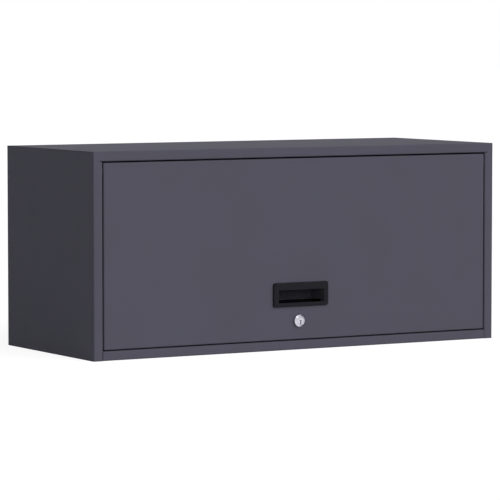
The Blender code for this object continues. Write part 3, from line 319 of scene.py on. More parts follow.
@dataclass(frozen=True)
class TurnedMetal(Finish):
    """Machined and plated metal, with rings round the axis it was turned on.

    Real tool rings are finer than a pixel, so they are drawn as coarse as they need to show. One
    ring is a full wave, 2 pi times the phase's length, which makes 3.1 mm.
    """

    centre: Place = (0.0, 0.0, 0.0)
    phase_mm: float = 0.5
    rings_about: str = "Y"
    wobble: float = 0.6
    wobble_detail: float = 2.0

    def relief(self, tree: Tree, place: Socket) -> Socket:
        """Tool rings, softened by the plating."""
        shift = tuple(-value for value in self.centre)
        centred = add_node(tree, "ShaderNodeMapping", {"Vector": place, "Location": shift})
        rings = add_node(
            tree,
            "ShaderNodeTexWave",
            {
                "Vector": centred.outputs["Vector"],
                "Scale": 1 / (self.phase_mm * MM) / WAVE_FACTOR,
                "Distortion": self.wobble,
                "Detail": self.wobble_detail,
                "Detail Scale": self.wobble_detail,
            },
            wave_type="RINGS",
            rings_direction=self.rings_about,
        )
        lines = add_node(
            tree,
            "ShaderNodeBump",
            {"Height": rings.outputs["Fac"], "Distance": self.relief_mm * MM, "Strength": 1.0},
        )
        return lines.outputs["Normal"]


@dataclass(frozen=True)
class MouldedPlastic(Finish):
    """Moulded plastic whose finger-slot faces get painted shade: a near-black colour and no sheen,
    standing in for the shade deep in the slot.
    """

    # Near-black colour painted on the finger slot's faces as shade
    painted_slot_shade: str = "09090A"

    def build(self) -> bpy.types.Material:
        """Makes the material, with no sheen on the finger slot's faces, so that they stay as dark
        as painted shade.
        """
        material = super().build()
        tree = material.node_tree
        slot_shade_mask = add_node(tree, "ShaderNodeAttribute", attribute_name=SLOT_SHADE_LAYER)
        sheen = add_node(
            tree,
            "ShaderNodeMapRange",
            {"Value": slot_shade_mask.outputs["Fac"], "To Min": self.specular, "To Max": 0.0},
        )
        shader = tree.nodes["Principled BSDF"]
        tree.links.new(sheen.outputs["Result"], shader.inputs["Specular IOR Level"])
        return material

    def colour(self, tree: Tree, place: Socket) -> Socket:
        """Mottled colour, blackened on the finger slot's faces as painted shade."""
        slot_shade_mask = add_node(tree, "ShaderNodeAttribute", attribute_name=SLOT_SHADE_LAYER)
        faces = add_node(
            tree,
            "ShaderNodeMix",
            {
                0: slot_shade_mask.outputs["Fac"],
                MIX_FIRST: super().colour(tree, place),
                MIX_SECOND: rgba(self.painted_slot_shade),
            },
            data_type="RGBA",
        )
        return faces.outputs[MIX_RESULT]


class Material(Enum):
    """Every finish on the cabinet, under the name of the record's slot that it fills."""

    # Epoxy-polyester powder baked on folded steel: satin slate grey, a little peel, thin on edges
    POWDER_COATED_STEEL = PowderCoat(
        name="powder_coated_steel",
        base="4D4C58",
        shade="4C4B56",
        mottle_mm=90.0,
        roughness=0.82,
        spread=0.02,
        grain_mm=0.5,
        relief_mm=0.006,
        edge_wear_and_highlight="6E6D77",
        wear_and_highlight_share=0.4,
        specular=0.2,
    )
    # Bright zinc over cold-rolled sheet: cool grey with a faint cloudy passivation, satin
    ZINC_PLATED_STEEL = RolledMetal(
        name="zinc_plated_steel",
        base="A9ABA8",
        shade="9C9E9F",
        mottle_mm=14.0,
        roughness=0.34,
        spread=0.07,
        grain_mm=0.7,
        relief_mm=0.012,
        edge_wear_and_highlight="C9CAC6",
        metallic=1.0,
    )
    # Turned brass under bright nickel: a bright, slightly soft mirror with fine tool rings
    NICKEL_PLATED_BRASS = TurnedMetal(
        name="nickel_plated_brass",
        base="D3D2DC",
        shade="C7C6CF",
        mottle_mm=6.0,
        roughness=0.26,
        spread=0.04,
        grain_mm=0.4,
        relief_mm=0.004,
        edge_wear_and_highlight="E2E1E8",
        metallic=1.0,
        centre=(-0.0024, 0.0, 0.05),
    )
    # Hard chrome ground and lapped for the strut's rod: almost a mirror, with an oily drift
    CHROMED_STEEL = Finish(
        name="chromed_steel",
        base="C9CBD0",
        shade="BEC0C4",
        mottle_mm=7.0,
        roughness=0.10,
        spread=0.04,
        grain_mm=0.8,
        relief_mm=0.002,
        edge_wear_and_highlight="D8DADD",
        metallic=1.0,
    )
    # Injection-moulded ABS from a spark-eroded mould: even fine grain, dull sheen; its lighter edge
    # colour is partly wear and partly a painted highlight on the bezel and ledge
    BLACK_MOULDED_PLASTIC = MouldedPlastic(
        name="black_moulded_plastic",
        base="1B1A1E",
        shade="1D1C21",
        mottle_mm=11.0,
        roughness=0.62,
        spread=0.04,
        grain_mm=0.45,
        relief_mm=0.02,
        edge_wear_and_highlight="38373C",
        specular=0.08,
    )
    # Injection-moulded nylon: smoother and slightly waxy
    BLACK_NYLON = Finish(
        name="black_nylon",
        base="1E1D20",
        shade="232226",
        mottle_mm=8.0,
        roughness=0.42,
        spread=0.05,
        grain_mm=0.6,
        relief_mm=0.008,
        edge_wear_and_highlight="302F33",
    )
    # Soft moulded rubber: matt, with a bloom of talc
    BLACK_RUBBER = Finish(
        name="black_rubber",
        base="1B1B1C",
        shade="232323",
        mottle_mm=3.0,
        roughness=0.82,
        spread=0.08,
        grain_mm=0.35,
        relief_mm=0.03,
        edge_wear_and_highlight="2C2C2C",
    )
    # Stoved black enamel on drawn tube: glossy with a faint ripple
    BLACK_ENAMELLED_TUBE = Finish(
        name="black_enamelled_tube",
        base="17171A",
        shade="1B1B1F",
        mottle_mm=20.0,
        roughness=0.28,
        spread=0.05,
        grain_mm=1.6,
        relief_mm=0.008,
        edge_wear_and_highlight="3B3B3F",
    )


# Modelling


def middle_of(node: str, **fixed: float) -> Vector:
    """Middle of a frame node's box, with each coordinate that is given put in place of its own."""
    low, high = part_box(node)
    point = (low + high) / 2
    for axis, value in fixed.items():
        setattr(point, axis, value)
    return point


def arc(
    centre: tuple[float, float], radius: float, start: float, end: float, steps: int
) -> Profile:
    """Points of an arc in a profile.

    Args:
        centre: Radius and height of the arc's centre.
        radius: Radius of the arc itself.
        start: First angle in degrees, from the radius direction towards the height.
        end: Last angle in degrees.
        steps: Number of chords.

    Returns:
        Radius and height of each point, in order.
    """
    points = []
    for step in range(steps + 1):
        angle = math.radians(start + (end - start) * step / steps)
        points.append(
            (centre[0] + radius * math.cos(angle), centre[1] + radius * math.sin(angle))
        )
    return points


def level_way(turn: float, sign: int = 1) -> Vector:
    """Level direction, turned from the front towards one side by an angle in degrees."""
    angle = math.radians(turn)
    return Vector((math.sin(angle) * sign, -math.cos(angle), 0.0))


def turned(profile: Profile, steps: int) -> BMesh:
    """Turns a profile about local Z.

    Args:
        profile: Radius and height of each point, in metres, from pole to pole or as a closed line.
        steps: Number of flats round the axis.

    Returns:
        Closed mesh of the turned shape.
    """
    mesh = bmesh.new()
    points = [mesh.verts.new((radius, 0, height)) for radius, height in profile]
    pairs = list(zip(points, points[1:]))
    if profile[0][0] > 0:
        pairs.append((points[-1], points[0]))
    edges = [mesh.edges.new(pair) for pair in pairs]
    bmesh.ops.spin(
        mesh,
        geom=points + edges,
        cent=(0, 0, 0),
        axis=(0, 0, 1),
        angle=math.tau,
        steps=steps,
        use_merge=True,
    )
    bmesh.ops.remove_doubles(mesh, verts=mesh.verts, dist=MERGE_DISTANCE)
    bmesh.ops.recalc_face_normals(mesh, faces=mesh.faces)
    return mesh


def block(low: Vector, high: Vector) -> BMesh:
    """Mesh of a block between two corners."""
    mesh = bmesh.new()
    bmesh.ops.create_cube(mesh, size=1)
    bmesh.ops.scale(mesh, verts=mesh.verts, vec=high - low)
    bmesh.ops.translate(mesh, verts=mesh.verts, vec=(low + high) / 2)
    return mesh


def joined(*meshes: BMesh) -> BMesh:
    """Puts several meshes into the first one, without joining their surfaces."""
    whole = meshes[0]
    for other in meshes[1:]:
        part = bpy.data.meshes.new("joined_part")
        other.to_mesh(part)
        other.free()
        whole.from_mesh(part)
        bpy.data.meshes.remove(part)
    return whole


def carved(mesh: BMesh, tool: BMesh, operation: str) -> BMesh:
    """Cuts one solid with another, or adds it.

    Args:
        mesh: Solid that is worked on.
        tool: Solid that cuts or joins it.
        operation: DIFFERENCE or UNION.

    Returns:
        Mesh of the result. Both inputs are freed.
    """
    objects = []
    for name, source in (("carved_solid", mesh), ("carving_tool", tool)):
        data = bpy.data.meshes.new(name)
        source.to_mesh(data)
        source.free()
        objects.append(bpy.data.objects.new(name, data))
        bpy.context.scene.collection.objects.link(objects[-1])
    solid, cutter = objects
    modifier = solid.modifiers.new("Carve", "BOOLEAN")
    modifier.operation = operation
    modifier.solver = "EXACT"
    modifier.object = cutter
    evaluated = solid.evaluated_get(bpy.context.evaluated_depsgraph_get())
    result = bmesh.new()
    result.from_mesh(evaluated.to_mesh())
    evaluated.to_mesh_clear()
    for obj in objects:
        data = obj.data
        bpy.data.objects.remove(obj)
        bpy.data.meshes.remove(data)
    return result


def round_edges(mesh: BMesh, radius: float, segments: int = 2, hollow: bool = False) -> BMesh:
    """Rounds the sharp edges of a solid and marks the new faces for the lighter edge colour: wear,
    and on the moulded plastic also a painted highlight.

    Args:
        mesh: Solid that is rounded in place.
        radius: Width of the rounding, in metres.
        segments: Number of faces across the rounding.
        hollow: True to fill inner corners too.

    Returns:
        The same mesh.
    """
    layers = mesh.faces.layers.float
    layer = layers.get(EDGE_LAYER) or layers.new(EDGE_LAYER)
    sharp = []
    for edge in mesh.edges:
        if edge.is_manifold and edge.calc_face_angle() > SHARP_ANGLE:
            if hollow or edge.is_convex:
                sharp.append(edge)
    made = bmesh.ops.bevel(
        mesh,
        geom=sharp,
        offset=radius,
        offset_type="OFFSET",
        segments=segments,
        profile=0.5,
        affect="EDGES",
        clamp_overlap=True,
        material=-1,
    )
    for face in made["faces"]:
        face[layer] = 1.0
    return mesh


@dataclass
class Workshop:
    """The loaded frame and the finishes, and how a finished mesh becomes a piece on its body."""

    nodes: dict[str, bpy.types.Object]
    finishes: dict[Material, bpy.types.Material] = field(default_factory=dict)
    made: int = 0

    def paint(self, finish: Material) -> bpy.types.Material:
        """Material of a finish, made when it is first asked for."""
        if finish not in self.finishes:
            self.finishes[finish] = finish.value.build()
        return self.finishes[finish]

    def copy_of(self, node: str) -> BMesh:
        """Solid of a frame node as a clean mesh.

        Args:
            node: Name of the node.

        Returns:
            Mesh with its doubles merged and its flat faces joined.
        """
        mesh = bmesh.new()
        mesh.from_mesh(self.nodes[node].data)
        bmesh.ops.remove_doubles(mesh, verts=mesh.verts, dist=MERGE_DISTANCE)
        bmesh.ops.dissolve_limit(
            mesh, angle_limit=COPLANAR_ANGLE, verts=mesh.verts, edges=mesh.edges
        )
        bmesh.ops.dissolve_degenerate(mesh, edges=mesh.edges, dist=SLIVER_LENGTH)
        return mesh

    def place(
        self, name: str, mesh: BMesh, finish: Material, body: str, node: str | None = None
    ) -> None:
        """Makes a piece of a mesh that is already in place.

        Args:
            name: Name of the piece.
            mesh: Mesh in the frame's own coordinates, which is freed.
            finish: Finish of the piece.
            body: Body that carries it.
            node: Frame node that it stands for, if any.
        """
        data = bpy.data.meshes.new(name)
        mesh.to_mesh(data)
        mesh.free()
        data.shade_smooth()
        data.set_sharp_from_angle(angle=SHARP_ANGLE)
        data.materials.append(self.paint(finish))
        obj = bpy.data.objects.new(name, data)
        bpy.context.scene.collection.objects.link(obj)
        flats = obj.modifiers.new("flat_faces_stay_flat", "WEIGHTED_NORMAL")
        flats.keep_sharp = True
        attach(obj, body)
        if node:
            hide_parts(node)
        self.made += 1
        LOG.info("%s rides %s, %d faces", name, body, len(data.polygons))

    def stand_in(self, node: str, mesh: BMesh, finish: Material, body: str) -> None:
        """Makes a piece that stands for the frame node it is named after."""
        self.place(f"{node}_finished", mesh, finish, body, node)

    def turn(
        self,
        node: str,
        profile: Profile,
        axis: Axis,
        centre: Vector,
        finish: Material,
        body: str,
        steps: int = 48,
    ) -> None:
        """Turns a profile, faces it along an axis from its centre and stands it in for a node.

        Args:
            node: Frame node that it stands for.
            profile: Radius and height of each point, in metres.
            axis: Direction of the profile's height.
            centre: Place of its origin.
            finish: Finish of the piece.
            body: Body that carries it.
            steps: Number of flats round the axis.
        """
        mesh = turned(profile, steps)
        bmesh.ops.transform(mesh, matrix=axis.at(centre), verts=mesh.verts)
        self.stand_in(node, mesh, finish, body)

    def soften(self, node: str, finish: Material, body: str, radius: float) -> None:
        """Stands a copy with rounded, worn edges in for a frame node."""
        self.stand_in(node, round_edges(self.copy_of(node), radius), finish, body)


@dataclass
class SpotWelds:
    """Resistance welds that hold folded flanges together: shallow craters under the powder."""

    pitch: float
    radius: float = 3.2 * MM
    crater_radius: float = 1.7 * MM
    rim_height: float = 0.28 * MM
    bury: float = 0.05 * MM
    steps: int = 12

    def stamp(self) -> BMesh:
        """Mesh of one weld, facing up at the origin."""
        rim = (self.radius + self.crater_radius) / 2
        profile = [
            (0, self.bury / 2),
            (self.crater_radius, self.bury / 2),
            (rim, self.rim_height),
            (self.radius, -self.bury),
            (0, -self.bury),
        ]
        return turned(profile, self.steps)

    def row(self, first: Vector, last: Vector) -> BMesh:
        """Makes a straight row of welds that face the rear, about a pitch apart.

        Args:
            first: Centre of the first weld.
            last: Centre of the last weld.

        Returns:
            Mesh of the whole row.
        """
        spans = max(1, round((last - first).length / self.pitch))
        stamps = []
        for step in range(spans + 1):
            stamp = self.stamp()
            place = first.lerp(last, step / spans)
            bmesh.ops.transform(stamp, matrix=Axis.REAR.at(place), verts=stamp.verts)
            stamps.append(stamp)
        return joined(*stamps)

    def around(self, node: str, inset: float) -> list[BMesh]:
        """Makes a row of welds along each edge of a panel's rear face.

        Args:
            node: Panel in the frame.
            inset: Distance of the rows from its edges.

        Returns:
            Mesh of each of the four rows.
        """
        low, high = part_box(node)
        left, right = low.x + inset, high.x - inset
        bottom, top = low.z + inset, high.z - inset
        lines = [(left, z, right, z) for z in (bottom, top)]
        lines += [(x, bottom + self.pitch, x, top - self.pitch) for x in (left, right)]
        return [
            self.row(Vector((x, high.y, z)), Vector((end_x, high.y, end_z)))
            for x, z, end_x, end_z in lines
        ]


@dataclass
class Shell:
    """Welded body of the cabinet: folded panels, hanging rails, strike plate and bumpers."""

    shop: Workshop
    edge_radius: float = 0.2 * MM
    plate_edge_radius: float = 0.35 * MM
    bend_radius: float = 2.2 * MM
    bend_turns: tuple[float, ...] = (22.5, 45.0, 67.5)
    seam_fill: float = 0.9 * MM
    seam_proud: float = 0.03 * MM
    seam_inset: float = 12.0 * MM
    seam_lap: float = 0.4 * MM
    seam_rise: float = 2.3 * MM
    seam_turns: tuple[float, ...] = (0, 11, 22, 33, 44, 55, 66, 77, 88)
    weld_inset: float = 7.5 * MM
    weld_pitch: float = 62 * MM
    bumper_skirt: float = 0.25 * MM
    bumper_angles: tuple[float, ...] = (0.35, 0.7, 1.05, 1.35)
    body: str = "cabinet"
    railed: tuple[str, ...] = ("top_panel", "bottom_panel")
    panels: tuple[str, ...] = ("left_side_panel", "right_side_panel", "back_panel")
    hanging_rails: tuple[str, ...] = ("upper_hanging_rail", "lower_hanging_rail")

    def build(self) -> None:
        """Builds and dresses every piece of the shell."""
        for node in self.railed:
            self.build_rail(node)
        self.build_seams()
        for node in (*self.panels, *self.hanging_rails):
            self.shop.soften(node, Material.POWDER_COATED_STEEL, self.body, self.edge_radius)
        self.shop.soften(
            "strike_plate", Material.ZINC_PLATED_STEEL, self.body, self.plate_edge_radius
        )
        self.build_welds()
        for side in Side:
            self.build_bumper(side)

    def build_rail(self, node: str) -> None:
        """Panel with a front rail, whose ends are dressed round to meet the bends of the sides.

        Args:
            node: Panel that is shown by the new piece.
        """
        low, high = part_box(node)
        mesh = self.shop.copy_of(node)
        for side in Side:
            centre_x = (high.x - self.bend_radius) * side.sign
            centre = Vector((centre_x, low.y + self.bend_radius, 0.0))
            for turn in self.bend_turns:
                way = level_way(turn, side.sign)
                bmesh.ops.bisect_plane(
                    mesh,
                    geom=[*mesh.verts, *mesh.edges, *mesh.faces],
                    plane_co=centre + way * self.bend_radius,
                    plane_no=way,
                    clear_outer=True,
                )
                rim = [edge for edge in mesh.edges if edge.is_boundary]
                bmesh.ops.holes_fill(mesh, edges=rim, sides=0)
        round_edges(mesh, self.edge_radius)
        self.shop.stand_in(node, mesh, Material.POWDER_COATED_STEEL, self.body)

    def build_seams(self) -> None:
        """Corner welds, ground flush, which fill the seams between rails and side panels."""
        top, bottom = self.railed
        fills = []
        for node, up in ((top, 1), (bottom, -1)):
            low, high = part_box(node)
            edge = low.z if up == 1 else high.z
            for side in Side:
                fills.append(self.seam(side, Vector((high.x, low.y, edge)), up))
        self.shop.place(
            "corner_welds", joined(*fills), Material.POWDER_COATED_STEEL, self.body
        )

    def seam(self, side: Side, corner: Vector, up: int) -> BMesh:
        """Fill of one seam, which follows the outer bend of a side panel.

        Args:
            side: Side of the cabinet.
            corner: Square corner of the rail's edge at positive x, in metres.
            up: 1 where the rail lies above the seam, -1 where it lies below.

        Returns:
            The closed fill.
        """
        outer = self.bend_radius + self.seam_proud
        inner = self.bend_radius - self.seam_fill
        start = corner.x - self.seam_inset
        centre = Vector((corner.x - self.bend_radius, corner.y + self.bend_radius, 0.0))
        ways = [level_way(turn) for turn in self.seam_turns]
        ring = [
            Vector((start, centre.y - outer, 0.0)),
            *(centre + way * outer for way in ways),
            *(centre + way * inner for way in reversed(ways)),
            Vector((start, centre.y - inner, 0.0)),
        ]
        foot, head = sorted((corner.z - self.seam_lap * up, corner.z + self.seam_rise * up))
        mesh = bmesh.new()
        verts = [mesh.verts.new((point.x * side.sign, point.y, foot)) for point in ring]
        made = bmesh.ops.extrude_face_region(mesh, geom=[mesh.faces.new(verts)])
        moved = [item for item in made["geom"] if isinstance(item, bmesh.types.BMVert)]
        bmesh.ops.translate(mesh, verts=moved, vec=(0.0, 0.0, head - foot))
        bmesh.ops.recalc_face_normals(mesh, faces=mesh.faces)
        return mesh

    def build_welds(self) -> None:
        """Welds round the back panel and along the hanging rails behind it."""
        rows = SpotWelds(self.weld_pitch).around("back_panel", self.weld_inset)
        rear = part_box("back_panel")[1].y
        pitch = self.weld_pitch * 2
        for node in self.hanging_rails:
            low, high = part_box(node)
            first = middle_of(node, x=low.x + pitch, y=rear)
            last = middle_of(node, x=high.x - pitch, y=rear)
            rows.append(SpotWelds(pitch).row(first, last))
        self.shop.place(
            "back_spot_welds", joined(*rows), Material.POWDER_COATED_STEEL, self.body
        )

    def build_bumper(self, side: Side) -> None:
        """Domed rubber bumper on the stop."""
        node = f"{side.word}_door_bumper"
        low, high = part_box(node)
        radius, length, skirt = (high.x - low.x) / 2, high.y - low.y, self.bumper_skirt
        crown = length - skirt
        profile = [(0, length)]
        for angle in self.bumper_angles:
            profile.append((radius * math.sin(angle), skirt + crown * math.cos(angle)))
        profile += [(radius, skirt), (radius, 0), (0, 0)]
        seat = middle_of(node, y=high.y)
        self.shop.turn(node, profile, Axis.FRONT, seat, Material.BLACK_RUBBER, self.body)


@dataclass
class Fastener:
    """Pan-head screw with a cross recess, whose head faces the rear."""

    shop: Workshop
    node: str
    body: str
    head_height: float = 2.2 * MM
    shank_radius: float = 1.9 * MM
    thread_pitch: float = 0.8 * MM
    thread_depth: float = 0.25 * MM
    tip_share: float = 0.6
    recess_width_share: float = 0.24
    recess_span_share: float = 1.1
    recess_depth_share: float = 0.65
    steps: int = 48
    head_shares: Shares = (
        (0.4, 0.985),
        (0.68, 0.92),
        (0.88, 0.74),
        (0.98, 0.48),
        (1.0, 0.22),
        (0.96, 0.0),
    )

    def build(self) -> None:
        """Turns the screw, sinks its recess and stands it in for its node."""
        low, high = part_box(self.node)
        head, shank, radius = self.head_height, self.shank_radius, (high.x - low.x) / 2
        seat = middle_of(self.node, y=high.y - head)
        length = seat.y - low.y
        profile = [(0, head)]
        profile += [(radius * across, head * up) for across, up in self.head_shares]
        profile.append((shank, 0))
        for turn in range(1, int(length / self.thread_pitch)):
            crest = -self.thread_pitch * turn
            root = crest + self.thread_pitch / 2
            profile += [(shank - self.thread_depth, root), (shank, crest)]
        profile += [(shank * self.tip_share, -length), (0, -length)]
        width, span = radius * self.recess_width_share / 2, radius * self.recess_span_share / 2
        floor, top = head * (1 - self.recess_depth_share), head * 2
        cross = carved(
            block(Vector((-width, -span, floor)), Vector((width, span, top))),
            block(Vector((-span, -width, floor)), Vector((span, width, top))),
            "UNION",
        )
        mesh = carved(turned(profile, self.steps), cross, "DIFFERENCE")
        bmesh.ops.transform(mesh, matrix=Axis.REAR.at(seat), verts=mesh.verts)
        self.shop.stand_in(self.node, mesh, Material.ZINC_PLATED_STEEL, self.body)


@dataclass
class Door:
    """Flip-up door: skin, liner, stiffeners, hinge plates and the strut brackets on its back."""

    shop: Workshop
    edge_radius: float = 0.3 * MM
    plate_edge_radius: float = 0.4 * MM
    stud_edge_radius: float = 0.3 * MM
    weld_inset: float = 6.0 * MM
    weld_pitch: float = 58 * MM
    body: str = "door"
    sheets: tuple[str, ...] = (
        "door_skin",
        "door_liner",
        "left_door_stiffener",
        "right_door_stiffener",
    )

    def build(self) -> None:
        """Builds and dresses every piece of the door apart from its pull and lock."""
        coated, plated = Material.POWDER_COATED_STEEL, Material.ZINC_PLATED_STEEL
        for node in self.sheets:
            self.shop.soften(node, coated, self.body, self.edge_radius)
        rows = SpotWelds(self.weld_pitch).around("door_liner", self.weld_inset)
        self.shop.place("liner_spot_welds", joined(*rows), coated, self.body)
        for side in Side:
            for node in (f"{side.word}_hinge_plate", f"{side.word}_door_strut_bracket"):
                self.shop.soften(node, plated, self.body, self.plate_edge_radius)
            self.shop.soften(
                f"{side.word}_door_stud", plated, self.body, self.stud_edge_radius
            )
            for level in ("upper", "lower"):
                Fastener(self.shop, f"{side.word}_{level}_bracket_screw", self.body).build()


@dataclass
class HingeCorner:
    """Bracket, nylon bush and pin at one upper corner of the door."""

    shop: Workshop
    side: Side
    pin_radius: float = 3.0 * MM
    head_height: float = 2.0 * MM
    head_round: float = 0.9 * MM
    pin_chamfer: float = 0.6 * MM
    bush_bore: float = 3.25 * MM
    bush_wall: float = 1.8 * MM
    bush_flange: float = 1.2 * MM
    bush_chamfer: float = 0.3 * MM
    plate_edge_radius: float = 0.4 * MM

    def build(self) -> None:
        """Builds and dresses the hinge's pieces."""
        word = self.side.word
        self.shop.soften(
            f"{word}_hinge_bracket", Material.ZINC_PLATED_STEEL, "cabinet", self.plate_edge_radius
        )
        self.build_bush(f"{word}_hinge_bush")
        self.build_pin(f"{word}_hinge_pin")

    def build_bush(self, node: str) -> None:
        """Flanged bush, with its flange towards the door."""
        low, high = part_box(node)
        flange_radius = (high.z - low.z) / 2
        neck = high.x - low.x - self.bush_flange
        bore, flange, soft = self.bush_bore, self.bush_flange, self.bush_chamfer
        outer = bore + self.bush_wall
        profile = [
            (bore, flange - soft),
            (bore + soft, flange),
            (flange_radius - soft, flange),
            (flange_radius, flange - soft),
            (flange_radius, 0),
            (outer, 0),
            (outer, soft - neck),
            (outer - soft, -neck),
            (bore, -neck),
        ]
        inner = high.x if self.side is Side.LEFT else low.x
        seat = middle_of(node, x=inner + self.side.sign * flange)
        self.shop.turn(
            node, profile, self.side.inward, seat, Material.BLACK_NYLON, "cabinet"
        )

    def build_pin(self, node: str) -> None:
        """Headed pin, with its head inside the door."""
        low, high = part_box(node)
        head_radius, length = (high.z - low.z) / 2, high.x - low.x - self.head_height
        crown = (head_radius - self.head_round, self.head_round - self.head_height)
        profile = [
            (0, length),
            (self.pin_radius - self.pin_chamfer, length),
            (self.pin_radius, length - self.pin_chamfer),
            (self.pin_radius, 0),
            (head_radius, 0),
            *arc(crown, self.head_round, 0, -90, 5),
            (0, -self.head_height),
        ]
        inner = low.x if self.side is Side.RIGHT else high.x
        seat = middle_of(node, x=inner + self.side.sign * self.head_height)
        self.shop.turn(
            node, profile, self.side.outward, seat, Material.ZINC_PLATED_STEEL, "door"
        )


@dataclass
class RecessedPull:
    """Moulded pull let into the door: soft bezel, scooped cup, and finger slot below its ledge."""

    shop: Workshop
    edge_radius: float = 0.45 * MM
    edge_segments: int = 3
    slot_top: float = 85.5 * MM
    slot_front: float = 5.0 * MM
    body: str = "door"
    node: str = "pull_handle"

    def build(self) -> None:
        """Builds the pull with a rounded mouth and marks the finger slot's faces for painted shade.
        """
        mesh = self.shop.copy_of(self.node)
        round_edges(mesh, self.edge_radius, self.edge_segments, hollow=True)
        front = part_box(self.node)[0].y + self.slot_front
        # Faces inside the finger slot get painted shade: near-black and without sheen
        layer = mesh.faces.layers.float.new(SLOT_SHADE_LAYER)
        for face in mesh.faces:
            middle = face.calc_center_median()
            if middle.z < self.slot_top and middle.y > front:
                face[layer] = 1.0
        self.shop.place(
            "recessed_pull", mesh, Material.BLACK_MOULDED_PLASTIC, self.body, self.node
        )


@dataclass
class CamLock:
    """Cam lock: threaded barrel with a polished head, nut, plug with its keyway, cam and screw."""

    shop: Workshop
    proud: float = 5.8 * MM
    head_radius: float = 10.5 * MM
    head_chamfer: float = 3.0 * MM
    head_soft: float = 0.6 * MM
    foot_height: float = 0.3 * MM
    foot_chamfer: float = 0.2 * MM
    barrel_radius: float = 9.0 * MM
    bore_radius: float = 6.5 * MM
    bore_chamfer: float = 0.35 * MM
    thread_pitch: float = 1.0 * MM
    thread_depth: float = 0.4 * MM
    thread_start_share: float = 0.8
    thread_flank_share: float = 0.4
    thread_flat_share: float = 0.1
    thread_runout: float = 0.4 * MM
    plug_play: float = 0.15 * MM
    plug_recess: float = 0.4 * MM
    tang_half: float = 4.0 * MM
    keyway_width: float = 1.8 * MM
    keyway_top: float = 1.5 * MM
    keyway_bottom: float = -5.5 * MM
    keyway_depth: float = 16 * MM
    ward_width: float = 3.6 * MM
    ward_height: float = 1.4 * MM
    ward_depth: float = 4 * MM
    overrun: float = 0.1 * MM
    nut_edge_radius: float = 0.4 * MM
    cam_edge_radius: float = 0.35 * MM
    screw_head: float = 2.0 * MM
    screw_shank: float = 1.8 * MM
    steps: int = 96
    centre: Vector = field(init=False)
    barrel_length: float = field(init=False)

    def __post_init__(self) -> None:
        """Reads where the barrel meets the door, and how far it reaches in."""
        low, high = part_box("lock_barrel")
        self.centre = middle_of("lock_barrel", y=low.y + self.proud)
        self.barrel_length = high.y - self.centre.y

    def build(self) -> None:
        """Builds and dresses the lock."""
        plated = Material.ZINC_PLATED_STEEL
        self.build_barrel()
        self.build_plug()
        self.shop.soften("lock_nut", plated, "door", self.nut_edge_radius)
        self.shop.soften("lock_cam", plated, "lock", self.cam_edge_radius)
        Fastener(self.shop, "cam_screw", "lock", self.screw_head, self.screw_shank).build()

    def build_barrel(self) -> None:
        """Barrel with a chamfered head and a threaded body."""
        proud, chamfer, soft = self.proud, self.bore_chamfer, self.head_soft
        slope = soft * math.tan(math.radians(22.5))
        face_edge = self.head_radius - self.head_chamfer - slope
        shoulder = proud - self.head_chamfer - slope
        root, end = self.barrel_radius - self.thread_depth, -self.barrel_length
        profile = [
            (self.bore_radius, proud - chamfer),
            (self.bore_radius + chamfer, proud),
            *arc((face_edge, proud - soft), soft, 90, 45, 3),
            *arc((self.head_radius - soft, shoulder), soft, 45, 0, 3),
            (self.head_radius, self.foot_height + self.foot_chamfer),
            (self.head_radius - self.foot_chamfer, self.foot_height),
            (root, self.foot_height),
        ]
        flank = self.thread_pitch * self.thread_flank_share
        flat = self.thread_pitch * self.thread_flat_share
        for turn in range(int(self.barrel_length / self.thread_pitch) - 1):
            foot = -self.thread_pitch * (turn + self.thread_start_share)
            profile += [
                (root, foot),
                (self.barrel_radius, foot - flank),
                (self.barrel_radius, foot - flank - flat),
            ]
        profile += [(root, end + self.thread_runout), (root, end), (self.bore_radius, end)]
        self.shop.turn(
            "lock_barrel",
            profile,
            Axis.FRONT,
            self.centre,
            Material.NICKEL_PLATED_BRASS,
            "door",
            self.steps,
        )

    def cut(
        self, half_width: float, depths: tuple[float, float], heights: tuple[float, float]
    ) -> BMesh:
        """Block that stands evenly about the lock's axis.

        Args:
            half_width: Half of its width.
            depths: Front and rear end, as places in the frame.
            heights: Lower and upper end, from the lock's axis.

        Returns:
            Mesh of the block.
        """
        (front, rear), (foot, head) = depths, heights
        return block(
            Vector((self.centre.x - half_width, front, self.centre.z + foot)),
            Vector((self.centre.x + half_width, rear, self.centre.z + head)),
        )

    def build_plug(self) -> None:
        """Turning plug with its keyway, and the square tang that carries the cam."""
        low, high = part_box("lock_plug")
        radius = self.bore_radius - self.plug_play
        front = self.proud - self.plug_recess
        profile = [
            (0, front),
            (radius - self.bore_chamfer, front),
            (radius, front - self.bore_chamfer),
            (radius, -self.barrel_length),
            (0, -self.barrel_length),
        ]
        plug = turned(profile, self.steps)
        bmesh.ops.transform(plug, matrix=Axis.FRONT.at(self.centre), verts=plug.verts)
        inside = self.centre.y + self.barrel_length / 2
        tang = self.cut(self.tang_half, (inside, high.y), (-self.tang_half, self.tang_half))
        plug = carved(plug, tang, "UNION")
        mouth, top = low.y - self.proud, self.keyway_top
        slot = self.cut(
            self.keyway_width / 2, (mouth, low.y + self.keyway_depth), (self.keyway_bottom, top)
        )
        ward = self.cut(
            self.ward_width / 2,
            (mouth, low.y + self.ward_depth),
            (top - self.ward_height, top + self.overrun),
        )
        plug = carved(plug, carved(slot, ward, "UNION"), "DIFFERENCE")
        self.shop.stand_in("lock_plug", plug, Material.NICKEL_PLATED_BRASS, "lock")


